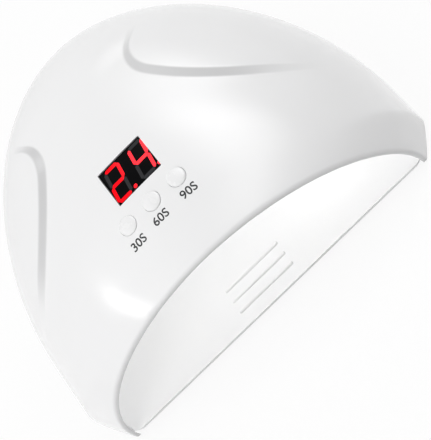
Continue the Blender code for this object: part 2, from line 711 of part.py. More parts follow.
def make_inner_liner(shop):
    """Light liner: a vault with a flange round its front and its foot, screw bosses and lamp holes."""
    bm = bmesh.new()
    hollow_block(bm, WALL + GAP, LINER_FRONT_Y)
    liner = shop.part("inner_liner", bm, "white_liner")

    bm = bmesh.new()
    add_vault(bm, 0.0, -BEYOND)
    keep = shop.cutter("liner_vault", bm)
    bm = bmesh.new()
    side = DOME_WIDTH
    add_box(bm, (-side, -BEYOND, -BEYOND * 2), (side, DOME_DEPTH + BEYOND, LINER_FLOOR + LINER_FLANGE))
    combine(keep, shop.cutter("liner_foot_flange", bm), "UNION")
    bm = bmesh.new()
    tall = DOME_HEIGHT + BEYOND
    back = LINER_FRONT_Y + LINER_FLANGE
    deep = -BEYOND * 2
    corners = ((-side, deep), (-side, tall), (side, tall), (side, deep))
    add_loft(bm, [[Vector((x, y - lean(back, z), z)) for x, z in corners] for y in (deep, back)])
    combine(keep, shop.cutter("liner_front_flange", bm), "UNION")
    bm = bmesh.new()
    for x, y in post_places():
        add_rod(bm, (x, y, 0.0), (x, y, BOSS_TOP), POST_RADIUS + BOSS_RIM, ROUND_SIDES)
    combine(keep, shop.cutter("liner_bosses", bm), "UNION")
    combine(liner, keep, "INTERSECT")

    bm = bmesh.new()
    add_vault(bm, LINER_WALL, -BEYOND * 3)
    combine(liner, shop.cutter("liner_space", bm), "DIFFERENCE")
    bm = bmesh.new()
    add_floor(bm, LINER_FLOOR)
    combine(liner, shop.cutter("liner_underside", bm), "DIFFERENCE")

    bm = bmesh.new()
    for index in range(len(STRIP_NAMES)):
        for angle in led_angles():
            spot, out = liner_frame(angle)
            spot.y = strip_station(index)
            add_rod(bm, spot - out * LED_CUT, spot + out * LED_CUT, LED_RADIUS + GAP, SMALL_SIDES)
    for x, y in post_places():
        add_rod(bm, (x, y, 0.0), (x, y, BOSS_TOP + BEYOND), SCREW_BORE, SMALL_SIDES)
    for x, y in peg_places():
        add_rod(bm, (x, y, 0.0), (x, y, LINER_FLOOR + LINER_FLANGE * 2), PEG_RADIUS + GAP, ROUND_SIDES)
    combine(liner, shop.cutter("liner_bores", bm), "DIFFERENCE")
    bm = bmesh.new()
    for x, y in post_places():
        add_rod(bm, (x, y, 0.0), (x, y, SCREW_SEAT), SCREW_HEAD_RADIUS + GAP, ROUND_SIDES)
    combine(liner, shop.cutter("liner_counterbores", bm), "DIFFERENCE")


def tray_outline():
    """Outline of the tray: the space between the dome's walls, with rounded front corners."""
    inset = WALL + GAP
    corner = [(TRAY_FRONT_Y + TRAY_CORNER * (1 - math.cos(turn)), TRAY_CORNER * (1 - math.sin(turn)))
              for turn in quarter_turns(CORNER_STEPS)]
    half = [(dome_half_width(y, inset) - cut, y) for y, cut in corner]
    half += [(dome_half_width(y, inset), y) for y in dome_stations(-NOSE_RADIUS * 2, inset)
             if y > TRAY_FRONT_Y + TRAY_CORNER + WALL]
    rear = [(0.0, DOME_DEPTH - inset)]
    return half + rear + [(-x, y) for x, y in reversed(half)]


def flat_plate(outline, thickness):
    """Mesh of a flat outline with its underside on z = 0."""
    bm = bmesh.new()
    face = bm.faces.new([bm.verts.new((x, y, 0.0)) for x, y in outline])
    raised = bmesh.ops.extrude_face_region(bm, geom=[face])["geom"]
    top = [item for item in raised if isinstance(item, bmesh.types.BMVert)]
    bmesh.ops.translate(bm, verts=top, vec=(0.0, 0.0, thickness))
    bmesh.ops.recalc_face_normals(bm, faces=bm.faces)
    return bm


def make_base_tray(shop):
    """Tray that the hand rests on, with grip ribs and four locating pegs."""
    tray = shop.part("base_tray", flat_plate(tray_outline(), TRAY_THICKNESS), "white_tray")
    bm = bmesh.new()
    for i in range(RIB_COUNT):
        y = RIB_FIRST_Y + RIB_PITCH * i
        add_box(bm, (-RIB_LENGTH / 2, y - RIB_WIDTH / 2, TRAY_TOP / 2),
                (RIB_LENGTH / 2, y + RIB_WIDTH / 2, TRAY_TOP + RIB_HEIGHT))
    for x, y in peg_places():
        add_rod(bm, (x, y, TRAY_TOP / 2), (x, y, TRAY_TOP + PEG_HEIGHT), PEG_RADIUS, ROUND_SIDES)
    combine(tray, shop.cutter("tray_ribs_and_pegs", bm), "UNION")


def make_feet(shop):
    """Rubber feet under the tray."""
    profile = [(0.0, -GAP), (FOOT_RADIUS, -GAP), (FOOT_RADIUS, FOOT_CHAMFER - FOOT_HEIGHT),
               (FOOT_RADIUS - FOOT_CHAMFER, -FOOT_HEIGHT), (0.0, -FOOT_HEIGHT)]
    names = ("front_left_foot", "front_right_foot", "rear_left_foot", "rear_right_foot")
    for name, (x, y) in zip(names, foot_places()):
        shop.turned(name, profile, "rubber", ROUND_SIDES, location=(x, y, 0.0))


def make_display(shop):
    """Two-digit display that fills the window and stands on the control board."""
    bm = bmesh.new()
    across, up = WINDOW_WIDTH / 2 - GAP, WINDOW_HEIGHT / 2 - GAP
    add_box(bm, (-across, -up, -DISPLAY_SINK - DISPLAY_DEPTH), (across, up, -DISPLAY_SINK))
    shop.part("display_module", bm, "display_black", shop.panel)


def make_buttons(shop):
    """Three push buttons, each over the plunger of its own switch."""
    flange_top = FLANGE_UNDER + FLANGE_THICKNESS
    half = SWITCH_SIDE / 2
    for name, x in zip(BUTTON_NAMES, button_columns()):
        drop = panel_drop(x, -BUTTON_DROP)
        stem_foot = PLUNGER_TOP + GAP - drop
        cap = [(BUTTON_RADIUS * math.sin(turn), BUTTON_EDGE + (BUTTON_PROUD - BUTTON_EDGE) * math.cos(turn))
               for turn in quarter_turns(CAP_STEPS)]
        profile = cap + [(BUTTON_RADIUS, flange_top), (BUTTON_RADIUS + BUTTON_FLANGE, flange_top),
                         (BUTTON_RADIUS + BUTTON_FLANGE, FLANGE_UNDER), (STEM_RADIUS, FLANGE_UNDER),
                         (STEM_RADIUS, stem_foot), (0.0, stem_foot)]
        shop.turned(name, profile, "white_button", RIM_SIDES, shop.panel, (x, -BUTTON_DROP, drop))

        reach = PLUNGER_PROUD + PLUNGER_DEPTH
        plunger = [(0.0, 0.0), (PLUNGER_RADIUS, 0.0), (PLUNGER_RADIUS, -reach), (0.0, -reach)]
        shop.turned(name.replace("timer_button", "switch_plunger"), plunger, "switch_black", SMALL_SIDES,
                    shop.panel, (x, -BUTTON_DROP, PLUNGER_TOP))

        bm = bmesh.new()
        add_box(bm, (x - half, -BUTTON_DROP - half, SWITCH_FOOT), (x + half, -BUTTON_DROP + half, SWITCH_TOP))
        body = shop.part(name.replace("timer_button", "switch_body"), bm, "switch_black", shop.panel)
        bm = bmesh.new()
        well = Vector((x, -BUTTON_DROP, SWITCH_TOP - PLUNGER_DEPTH - BUTTON_TRAVEL - GAP))
        add_rod(bm, well, well + Vector((0.0, 0.0, BEYOND)), PLUNGER_RADIUS + GAP, SMALL_SIDES)
        combine(body, shop.cutter(name + "_well", bm, shop.panel), "DIFFERENCE")


def hung_box(shop, name, size, place, finish):
    """Box-shaped component on the underside of the control board, at place across and up the slope."""
    bm = bmesh.new()
    top = BOARD_UNDER - GAP
    add_box(bm, (place[0] - size[0] / 2, place[1] - size[1] / 2, top - size[2]),
            (place[0] + size[0] / 2, place[1] + size[1] / 2, top))
    shop.part(name, bm, finish, shop.panel)


def make_control_board(shop):
    """Circuit board with its components and the two screws that hold it to the dome's standoffs."""
    bm = bmesh.new()
    add_box(bm, (-BOARD_WIDTH / 2, -BOARD_FRONT, BOARD_UNDER), (BOARD_WIDTH / 2, BOARD_REAR, BOARD_TOP))
    board = shop.part("control_board", bm, "board_green", shop.panel)
    bm = bmesh.new()
    for side in (-1, 1):
        place = Vector((side * STANDOFF_X, -STANDOFF_DROP, BOARD_TOP))
        reach = Vector((0.0, 0.0, BEYOND))
        add_rod(bm, place - reach, place + reach, SCREW_BORE, SMALL_SIDES)
    combine(board, shop.cutter("board_holes", bm, shop.panel), "DIFFERENCE")

    hung_box(shop, "control_chip", CHIP_SIZE, CHIP_PLACE, "chip_black")
    hung_box(shop, "led_driver", DRIVER_SIZE, DRIVER_PLACE, "chip_black")
    hung_box(shop, "power_plug", PLUG_SIZE, POWER_PLUG_PLACE, "plug_cream")
    hung_box(shop, "led_plug", PLUG_SIZE, LED_PLUG_PLACE, "plug_cream")
    can = [(0.0, 0.0), (CAPACITOR_RADIUS, 0.0), (CAPACITOR_RADIUS, CAPACITOR_CHAMFER - CAPACITOR_HEIGHT),
           (CAPACITOR_RADIUS - CAPACITOR_CHAMFER, -CAPACITOR_HEIGHT), (0.0, -CAPACITOR_HEIGHT)]
    shop.turned("capacitor", can, "capacitor_sleeve", ROUND_SIDES, shop.panel,
                (*CAPACITOR_PLACE, BOARD_UNDER - GAP))
    for name, side in (("left_board_screw", -1), ("right_board_screw", 1)):
        seat = (side * STANDOFF_X, -STANDOFF_DROP, BOARD_UNDER - GAP)
        make_screw(shop, name, BOARD_SCREW_LENGTH, shop.panel, seat)


def make_screw(shop, name, length, parent, seat):
    """Pan-head screw that points up, with the face under its head at seat."""
    profile = [(0.0, length), (SCREW_TIP_RADIUS, length), (SCREW_RADIUS, length - SCREW_TIP),
               (SCREW_RADIUS, 0.0), (SCREW_HEAD_RADIUS, 0.0),
               (SCREW_HEAD_RADIUS, SCREW_HEAD_CHAMFER - SCREW_HEAD),
               (SCREW_HEAD_RADIUS - SCREW_HEAD_CHAMFER, -SCREW_HEAD), (0.0, -SCREW_HEAD)]
    shop.turned(name, profile, "screw_steel", SMALL_SIDES, parent, seat)


def make_liner_screws(shop):
    """Screws that hold the liner to the dome's posts."""
    names = ("front_left_screw", "front_right_screw", "rear_left_screw", "rear_right_screw")
    for name, (x, y) in zip(names, post_places()):
        make_screw(shop, name, SCREW_LENGTH, None, (x, y, SCREW_SEAT - GAP))


def make_lights(shop):
    """Light strips on the liner's vault, their lamps, and the links between them."""
    for index, label in enumerate(STRIP_NAMES):
        y = strip_station(index)
        sections = []
        for step in range(STRIP_STEPS + 1):
            spot, out = liner_frame(STRIP_SPREAD * (2.0 * step / STRIP_STEPS - 1.0))
            inner, outer = spot + out * GAP, spot + out * (GAP + STRIP_THICKNESS)
            edges = (y - STRIP_WIDTH / 2, y + STRIP_WIDTH / 2)
            sections.append([Vector((inner.x, edges[0], inner.z)), Vector((outer.x, edges[0], outer.z)),
                             Vector((outer.x, edges[1], outer.z)), Vector((inner.x, edges[1], inner.z))])
        bm = bmesh.new()
        add_loft(bm, sections)
        shop.part(label + "_led_strip", bm, "strip_white")

        lens = [(LED_RADIUS * math.cos(turn), -LINER_WALL - LED_LENS * math.sin(turn))
                for turn in quarter_turns(LENS_STEPS)[:-1]]
        lamp = [(0.0, 0.0), (LED_RADIUS, 0.0), *lens, (0.0, -LINER_WALL - LED_LENS)]
        for number, angle in enumerate(led_angles(), 1):
            spot, out = liner_frame(angle)
            tilt = (0.0, math.atan2(out.x, out.z), 0.0)
            name = f"{label}_led_{number}"
            shop.turned(name, lamp, "led_yellow", SMALL_SIDES, None, (spot.x, y, spot.z), tilt)

    spot, out = liner_frame(LINK_ANGLE)
    lift = spot + out * (GAP + LINK_RADIUS)
    for index, label in enumerate(("front_led_link", "rear_led_link")):
        clear = STRIP_WIDTH / 2 + GAP
        ends = (strip_station(index) + clear, strip_station(index + 1) - clear)
        shop.lead(label, [(lift.x, y, lift.z) for y in ends], LINK_RADIUS, "link_red")


def make_led_lead(shop):
    """Short lead from the light plug on the board down to the middle strip."""
    x, v = LED_PLUG_PLACE
    start = panel_to_frame((x, v, BOARD_UNDER - 2 * GAP - PLUG_SIZE[2]))
    roof = liner_top() * rounded_end(abs(x) / LINER_HALF_WIDTH, LINER_SECTION_POWER)
    end = Vector((x, strip_station(1), roof + STRIP_THICKNESS + 3 * GAP))
    points = []
    for step in range(LEAD_STEPS + 1):
        share = step / LEAD_STEPS
        back = ease(share, LEAD_STRAIGHT, 1.0 - LEAD_STRAIGHT)
        points.append((x, start.y + (end.y - start.y) * back, start.z + (end.z - start.z) * share))
    shop.lead("led_lead", points, LINK_RADIUS, "link_red")


def rear_reach(height, angle):
    """Distance from the floor under the vault's end to a profile, at an angle above the floor to the rear."""
    low, high = 0.0, DOME_DEPTH
    for _ in range(HALVINGS):
        reach = (low + high) / 2
        if reach * math.sin(angle) < height(LINER_BARREL + reach * math.cos(angle)):
            low = reach
        else:
            high = reach
    return reach


def make_inlet(shop):
    """Power socket in the rear wall with its pin and nut, and the lead from it to the board."""
    seat = DOME_DEPTH + GAP
    outward = (-math.pi / 2, 0.0, 0.0)
    place = (0.0, seat, JACK_Z)
    bore_foot = JACK_FLANGE - JACK_BORE_DEPTH
    pin_hole = JACK_PIN_RADIUS + GAP
    socket = [(JACK_FLANGE_RADIUS, JACK_FLANGE), (JACK_FLANGE_RADIUS, 0.0), (JACK_BARREL_RADIUS, 0.0),
              (JACK_BARREL_RADIUS, -JACK_LENGTH), (pin_hole, -JACK_LENGTH), (pin_hole, bore_foot),
              (JACK_BORE_RADIUS, bore_foot), (JACK_BORE_RADIUS, JACK_FLANGE)]
    shop.turned("power_socket", socket, "jack_black", RIM_SIDES, None, place, outward)
    tail = -JACK_LENGTH - JACK_TAIL
    pin = [(0.0, 0.0), (JACK_PIN_RADIUS, -JACK_PIN_RADIUS), (JACK_PIN_RADIUS, tail), (0.0, tail)]
    shop.turned("socket_pin", pin, "plated_metal", SMALL_SIDES, None, place, outward)

    nut_radius = NUT_FLATS / 2 / math.cos(math.pi / NUT_SIDES)
    top_share = (JACK_Z + nut_radius) / (DOME_HEIGHT - WALL)
    wall_y = CREST_Y + (DOME_DEPTH - WALL - CREST_Y) * rounded_end(top_share, REAR_POWER)
    bm = bmesh.new()
    face = Vector((0.0, wall_y - GAP, JACK_Z))
    add_rod(bm, face - Vector((0.0, NUT_THICKNESS, 0.0)), face, nut_radius, NUT_SIDES)
    nut = shop.part("socket_nut", bm, "plated_metal")
    bm = bmesh.new()
    add_rod(bm, (0.0, wall_y - BEYOND, JACK_Z), (0.0, wall_y + BEYOND, JACK_Z),
            JACK_BARREL_RADIUS + GAP, RIM_SIDES)
    combine(nut, shop.cutter("nut_bore", bm), "DIFFERENCE")

    start = seat + tail - GAP
    points = [(0.0, start, JACK_Z), (0.0, start - LEAD_RADIUS, JACK_Z)]
    for step in range(2, LEAD_STEPS + 2):
        angle = math.pi / 2 * step / (LEAD_STEPS + 1)
        inner = rear_reach(lambda y: liner_height(y, 0.0), angle)
        outer = rear_reach(lambda y: dome_height(y, WALL), angle)
        middle = (inner + outer) / 2
        points.append((0.0, LINER_BARREL + middle * math.cos(angle), middle * math.sin(angle)))
    x, v = POWER_PLUG_PLACE
    plug = panel_to_frame((x, v + PLUG_SIZE[1] / 2 + GAP, BOARD_UNDER - GAP - PLUG_SIZE[2] / 2))
    points.append((x, plug.y + LEAD_RUN, plug.z + LEAD_RUN * math.sin(panel_tilt())))
    points.append((x, plug.y, plug.z))
    shop.lead("power_lead", points, LEAD_RADIUS, "lead_black")


def main():
    """Build every piece."""
    shop = Workshop()
    make_top_shell(shop)
    make_inner_liner(shop)
    make_base_tray(shop)
    make_feet(shop)
    make_display(shop)
    make_buttons(shop)
    make_control_board(shop)
    make_liner_screws(shop)
    make_lights(shop)
    make_led_lead(shop)
    make_inlet(shop)


if __name__ == "__main__":
    main()
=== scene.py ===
"""Looks of the gel curing lamp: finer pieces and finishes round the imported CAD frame.

Sizes are in metres. Shapes are worked out in the lamp's own frame, whose y = 0 is the front of the legs and
whose z = 0 is the lower edge of the dome, and are then carried to the row frame of the CAD part.
"""

import json
import logging
import math
from collections.abc import Callable, Sequence
from dataclasses import dataclass
from enum import Enum

import bmesh
import bpy
from mathutils import Matrix, Vector

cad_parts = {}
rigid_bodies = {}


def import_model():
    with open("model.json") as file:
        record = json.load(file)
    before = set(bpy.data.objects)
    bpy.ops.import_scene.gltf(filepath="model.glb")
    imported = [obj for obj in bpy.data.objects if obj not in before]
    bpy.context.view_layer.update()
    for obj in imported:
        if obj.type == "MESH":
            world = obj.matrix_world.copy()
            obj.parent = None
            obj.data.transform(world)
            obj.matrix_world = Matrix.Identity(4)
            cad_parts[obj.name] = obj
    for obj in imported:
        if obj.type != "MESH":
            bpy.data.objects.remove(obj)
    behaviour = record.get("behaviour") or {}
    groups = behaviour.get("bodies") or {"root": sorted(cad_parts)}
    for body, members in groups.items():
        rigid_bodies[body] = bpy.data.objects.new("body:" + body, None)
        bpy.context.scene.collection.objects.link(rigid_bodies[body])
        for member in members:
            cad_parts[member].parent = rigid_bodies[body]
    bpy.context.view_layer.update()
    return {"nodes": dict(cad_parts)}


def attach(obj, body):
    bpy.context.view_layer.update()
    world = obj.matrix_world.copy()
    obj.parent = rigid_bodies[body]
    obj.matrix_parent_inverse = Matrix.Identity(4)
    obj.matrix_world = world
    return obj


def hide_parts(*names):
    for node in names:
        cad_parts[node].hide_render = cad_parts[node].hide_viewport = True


for leftover in list(bpy.data.objects):
    bpy.data.objects.remove(leftover, do_unlink=True)
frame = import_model()

LOG = logging.getLogger("curing_lamp")
MM = 0.001
LAMP_PLACE = Matrix.Translation(Vector((0.0, -73.4664, 1.5)) * MM)
QUARTER = math.pi / 2
MERGE = 0.001 * MM
HAIR = 0.01 * MM
# Share of a face's normal along an axis from which the face counts as facing that way.
FACING = 0.9
# Share of a ring at which a turned piece starts beside its pole, so that it can be scaled out from there.
POLE_RING = 0.06
COAT_ROUGHNESS = 0.08
TRACK_GAP, TRACK_SHADE = 0.06, 0.25
CLOUD_DETAIL, GRAIN_DETAIL, BRUSH_STRETCH = 3.0, 2.0, 12.0

Colour = tuple[float, float, float]
Profile = Sequence[tuple[float, float]]


def clamp(value: float) -> float:
    """Limit a value to the span from 0 to 1."""
    return min(max(value, 0.0), 1.0)


def ease(value: float, low: float, high: float) -> float:
    """Rise smoothly from 0 at low to 1 at high."""
    share = clamp((value - low) / (high - low))
    return share * share * (3.0 - 2.0 * share)


def soft_min(a: float, b: float, radius: float) -> float:
    """Smaller of two distances, with the corner between them rounded."""
    share = max(radius - abs(a - b), 0.0) / radius
    return min(a, b) - share * share * radius / 4.0


def rounded_end(share: float, power: float) -> float:
    """Superelliptic fall from 1 to 0 as share goes from 0 to 1."""
    return (1.0 - clamp(share) ** power) ** (1.0 / power)


def rounded_ramp(distance: float, width: float, rounding: float) -> float:
    """Straight rise from 0 to 1 over a width, with both of its ends rounded.

    Args:
        distance: Place along the rise, 0 at its foot.
        width: Length of the rise.
        rounding: Half length of the rounded bend at each end.

    Returns:
        Height of the rise at that place, from 0 to 1.
    """
    def bend(x: float) -> float:
        """Ramp that starts at 0 with a rounded foot.

        Args:
            x: Place along the ramp.

        Returns:
            Height of the ramp there.
        """
        if x <= -rounding:
            return 0.0
        return x if x >= rounding else (x + rounding) ** 2 / (4.0 * rounding)
    return (bend(distance) - bend(distance - width)) / width


def arch_point(half_width: float, height: float, power: float, angle: float) -> tuple[float, float]:
    """Point x, z of a superelliptic arch; angle is 0 at its top and a quarter turn at each foot."""
    x = half_width * math.copysign(abs(math.sin(angle)) ** (2.0 / power), angle)
    return x, height * max(math.cos(angle), 0.0) ** (2.0 / power)


def srgb(red: int, green: int, blue: int) -> Colour:
    """Linear colour of an 8-bit display colour.

    Args:
        red: Red level, 0 to 255.
        green: Green level, 0 to 255.
        blue: Blue level, 0 to 255.

    Returns:
        Linear red, green and blue, 0 to 1.
    """
    def linear(value: int) -> float:
        """Linear level of one channel."""
        share = value / 255.0
        return share / 12.92 if share <= 0.04045 else ((share + 0.055) / 1.055) ** 2.4
    return linear(red), linear(green), linear(blue)


class Pattern(Enum):
    """Ways in which a finish varies over a surface."""

    CLOUD = "cloud"
    GRAIN = "grain"
    BRUSHED = "brushed"
    TRACKS = "tracks"
    ACROSS = "across"


@dataclass(frozen=True)
class Finish:
    """Procedural finish of one material.

    The pattern mixes the shade into the colour and spreads the roughness, and a finer grain gives the relief.
    """

    name: str
    slot: str
    colour: Colour
    shade: Colour
    pattern: Pattern = Pattern.CLOUD
    pattern_size: float = 14.0 * MM
    roughness: tuple[float, float] = (0.22, 0.28)
    grain_size: float = 0.5 * MM
    relief: float = 0.002 * MM
    metallic: float = 0.0
    specular: float = 0.5
    coat: float = 0.0
    glow: float = 0.0
    # Mesh attribute that paints shade into the colour, and the grey of that painted shade.
    painted_shade_layer: str = ""
    painted_shade_colour: Colour = (0.0, 0.0, 0.0)

    def material(self) -> bpy.types.Material:
        """Material of this finish, made once.

        Returns:
            The material, with its node tree built.
        """
        found = bpy.data.materials.get("finish_" + self.name)
        if found is not None:
            return found
        made = bpy.data.materials.new("finish_" + self.name)
        made.use_nodes = True
        made.diffuse_color = (*self.colour, 1.0)
        tree = made.node_tree
        shader = tree.nodes["Principled BSDF"]
        shader.inputs["Metallic"].default_value = self.metallic
        shader.inputs["Specular IOR Level"].default_value = self.specular
        shader.inputs["Coat Weight"].default_value = self.coat
        shader.inputs["Coat Roughness"].default_value = COAT_ROUGHNESS
        place = tree.nodes.new("ShaderNodeTexCoord").outputs["Object"]
        spread = self._spread(tree, place)
        mix = tree.nodes.new("ShaderNodeMix")
        mix.data_type = "RGBA"
        mix.inputs["A"].default_value = (*self.colour, 1.0)
        mix.inputs["B"].default_value = (*self.shade, 1.0)
        tree.links.new(spread, mix.inputs["Factor"])
        colour = self._with_painted_shade(tree, mix.outputs["Result"])
        tree.links.new(colour, shader.inputs["Base Color"])
        if self.glow > 0.0:
            tree.links.new(colour, shader.inputs["Emission Color"])
            shader.inputs["Emission Strength"].default_value = self.glow
        rough = tree.nodes.new("ShaderNodeMapRange")
        rough.inputs["To Min"].default_value, rough.inputs["To Max"].default_value = self.roughness
        tree.links.new(spread, rough.inputs["Value"])
        tree.links.new(rough.outputs["Result"], shader.inputs["Roughness"])
        self._relief(tree, place, shader)
        return made

    def _with_painted_shade(self, tree: bpy.types.NodeTree, colour: bpy.types.NodeSocket) -> bpy.types.NodeSocket:
        """Colour with painted shade laid over it: a grey mixed in as far as the mesh's painted-shade
        attribute reaches.

        Args:
            tree: Node tree of the material.
            colour: Socket with the plain colour.

        Returns:
            Socket with the colour, greyed where shade is painted.
        """
        if not self.painted_shade_layer:
            return colour
        share = tree.nodes.new("ShaderNodeAttribute")
        share.attribute_name = self.painted_shade_layer
        mix = tree.nodes.new("ShaderNodeMix")
        mix.data_type = "RGBA"
        mix.inputs["B"].default_value = (*self.painted_shade_colour, 1.0)
        tree.links.new(share.outputs["Fac"], mix.inputs["Factor"])
        tree.links.new(colour, mix.inputs["A"])
        return mix.outputs["Result"]

    def _spread(self, tree: bpy.types.NodeTree, place: bpy.types.NodeSocket) -> bpy.types.NodeSocket:
        """Socket that runs from 0 to 1 over the surface in this finish's pattern.

        Args:
            tree: Node tree of the material.
            place: Socket with the object coordinates.

        Returns:
            Socket with the pattern's value.
        """
        if self.pattern is Pattern.ACROSS:
            split = tree.nodes.new("ShaderNodeSeparateXYZ")
            tree.links.new(place, split.inputs["Vector"])
            span = tree.nodes.new("ShaderNodeMapRange")
            span.interpolation_type = "SMOOTHSTEP"
            span.inputs["From Min"].default_value = -self.pattern_size
            span.inputs["From Max"].default_value = self.pattern_size
            tree.links.new(split.outputs["X"], span.inputs["Value"])
            return span.outputs["Result"]
        if self.pattern is Pattern.TRACKS:
            brick = tree.nodes.new("ShaderNodeTexBrick")
            brick.inputs["Scale"].default_value = 1.0 / self.pattern_size
            brick.inputs["Color1"].default_value = (0.0, 0.0, 0.0, 1.0)
            brick.inputs["Color2"].default_value = (TRACK_SHADE, TRACK_SHADE, TRACK_SHADE, 1.0)
            brick.inputs["Mortar"].default_value = (1.0, 1.0, 1.0, 1.0)
            brick.inputs["Mortar Size"].default_value = TRACK_GAP
            tree.links.new(place, brick.inputs["Vector"])
            return brick.outputs["Color"]
        if self.pattern is Pattern.GRAIN:
            cells = tree.nodes.new("ShaderNodeTexVoronoi")
            cells.inputs["Scale"].default_value = 1.0 / self.pattern_size
            tree.links.new(place, cells.inputs["Vector"])
            return cells.outputs["Distance"]
        noise = tree.nodes.new("ShaderNodeTexNoise")
        noise.inputs["Scale"].default_value = 1.0 / self.pattern_size
        noise.inputs["Detail"].default_value = CLOUD_DETAIL
        if self.pattern is Pattern.BRUSHED:
            stretch = tree.nodes.new("ShaderNodeMapping")
            stretch.inputs["Scale"].default_value = (1.0, BRUSH_STRETCH, BRUSH_STRETCH)
            tree.links.new(place, stretch.inputs["Vector"])
            place = stretch.outputs["Vector"]
        tree.links.new(place, noise.inputs["Vector"])
        return noise.outputs["Fac"]

    def _relief(self, tree: bpy.types.NodeTree, place: bpy.types.NodeSocket, shader: bpy.types.Node) -> None:
        """Bump of the surface grain.

        Args:
            tree: Node tree of the material.
            place: Socket with the object coordinates.
            shader: Principled shader that gets the bumped normal.
        """
        grain = tree.nodes.new("ShaderNodeTexNoise")
        grain.inputs["Scale"].default_value = 1.0 / self.grain_size
        grain.inputs["Detail"].default_value = GRAIN_DETAIL
        tree.links.new(place, grain.inputs["Vector"])
        bump = tree.nodes.new("ShaderNodeBump")
        bump.inputs["Strength"].default_value = 1.0
        bump.inputs["Distance"].default_value = self.relief
        tree.links.new(grain.outputs["Fac"], bump.inputs["Height"])
        tree.links.new(bump.outputs["Normal"], shader.inputs["Normal"])


WHITE = (0.87, 0.87, 0.875)
# Painted shade: the dome's white is greyed towards this grey on the shoulder step's slope and round its rim,
# where shade would fall.
PAINTED_SHADE_NAME = "painted_step_shade"
SHELL_GLOSS = Finish("shell_gloss", "white_shell", WHITE, (0.86, 0.86, 0.862), pattern_size=30.0 * MM,
                     roughness=(0.16, 0.20), grain_size=3.0 * MM, relief=0.003 * MM,
                     painted_shade_layer=PAINTED_SHADE_NAME, painted_shade_colour=(0.63, 0.63, 0.635))
TRAY_SATIN = Finish("tray_satin", "white_tray", (0.87, 0.87, 0.868), (0.855, 0.855, 0.853),
                    pattern_size=22.0 * MM, roughness=(0.30, 0.38), grain_size=0.35 * MM, relief=0.002 * MM)
LINER_SATIN = Finish("liner_satin", "white_liner", (0.82, 0.82, 0.83), (0.79, 0.79, 0.80),
                     pattern_size=18.0 * MM, roughness=(0.34, 0.44), grain_size=0.4 * MM, relief=0.004 * MM)
CAP_SATIN = Finish("cap_satin", "white_button", WHITE, (0.85, 0.85, 0.852), pattern_size=3.0 * MM,
                   roughness=(0.24, 0.30), grain_size=0.3 * MM, relief=0.001 * MM)
FOOT_RUBBER = Finish("foot_rubber", "rubber", (0.055, 0.055, 0.058), (0.085, 0.085, 0.085),
                     pattern=Pattern.GRAIN, pattern_size=0.7 * MM, roughness=(0.70, 0.85),
                     grain_size=0.25 * MM, relief=0.03 * MM)
FACE_BLACK = Finish("face_black", "display_black", (0.0020, 0.0020, 0.0024), (0.0030, 0.0030, 0.0034),
                    pattern_size=2.0 * MM, roughness=(0.30, 0.38), grain_size=0.2 * MM, relief=0.001 * MM,
                    specular=0.03)
SEGMENT_LIT = Finish("segment_lit", "display_black", srgb(224, 8, 20), srgb(255, 52, 62),
                     pattern=Pattern.ACROSS, pattern_size=7.0 * MM, roughness=(0.35, 0.40),
                     grain_size=0.3 * MM, relief=0.001 * MM, specular=0.05, glow=0.76)
SEGMENT_DARK = Finish("segment_dark", "display_black", srgb(48, 48, 50), srgb(54, 54, 56),
                      pattern_size=1.0 * MM, roughness=(0.40, 0.50), grain_size=0.3 * MM, relief=0.001 * MM,
                      specular=0.05)
PRINT_GREY = Finish("print_grey", "white_shell", srgb(52, 52, 54), srgb(60, 60, 62), pattern_size=0.6 * MM,
                    roughness=(0.45, 0.55), grain_size=0.15 * MM, relief=0.002 * MM, specular=0.2)
LENS_YELLOW = Finish("lens_yellow", "led_yellow", (0.86, 0.74, 0.30), (0.90, 0.84, 0.55),
                     pattern_size=2.2 * MM, roughness=(0.08, 0.14), grain_size=0.6 * MM, relief=0.002 * MM,
                     coat=0.6)
STRIP_MASK = Finish("strip_mask", "strip_white", (0.74, 0.74, 0.71), (0.60, 0.47, 0.24),
                    pattern=Pattern.TRACKS, pattern_size=6.0 * MM, roughness=(0.45, 0.55),
                    grain_size=0.4 * MM, relief=0.005 * MM)
BOARD_MASK = Finish("board_mask", "board_green", (0.012, 0.13, 0.045), (0.05, 0.24, 0.09),
                    pattern=Pattern.TRACKS, pattern_size=5.0 * MM, roughness=(0.35, 0.45),
                    grain_size=0.5 * MM, relief=0.006 * MM)
CHIP_EPOXY = Finish("chip_epoxy", "chip_black", (0.018, 0.018, 0.019), (0.035, 0.035, 0.035),
                    pattern=Pattern.GRAIN, pattern_size=0.25 * MM, roughness=(0.5, 0.6),
                    grain_size=0.15 * MM, relief=0.01 * MM)
SWITCH_NYLON = Finish("switch_nylon", "switch_black", (0.025, 0.025, 0.026), (0.04, 0.04, 0.04),
                      pattern=Pattern.GRAIN, pattern_size=0.4 * MM, roughness=(0.5, 0.62),
                      grain_size=0.2 * MM, relief=0.008 * MM)
CAN_SLEEVE = Finish("can_sleeve", "capacitor_sleeve", (0.02, 0.03, 0.09), (0.03, 0.04, 0.12),
                    pattern_size=3.0 * MM, roughness=(0.28, 0.36), grain_size=0.6 * MM, relief=0.006 * MM)
PLUG_NYLON = Finish("plug_nylon", "plug_cream", (0.76, 0.72, 0.60), (0.70, 0.66, 0.54), pattern_size=2.0 * MM,
                    roughness=(0.45, 0.55), grain_size=0.25 * MM, relief=0.006 * MM)
JACK_NYLON = Finish("jack_nylon", "jack_black", (0.016, 0.016, 0.017), (0.028, 0.028, 0.028),
                    pattern=Pattern.GRAIN, pattern_size=0.35 * MM, roughness=(0.38, 0.48),
                    grain_size=0.2 * MM, relief=0.006 * MM)
CONTACT_NICKEL = Finish("contact_nickel", "plated_metal", (0.70, 0.68, 0.63), (0.60, 0.58, 0.54),
                        pattern=Pattern.BRUSHED, pattern_size=1.5 * MM, roughness=(0.22, 0.34),
                        grain_size=0.3 * MM, relief=0.002 * MM, metallic=1.0)
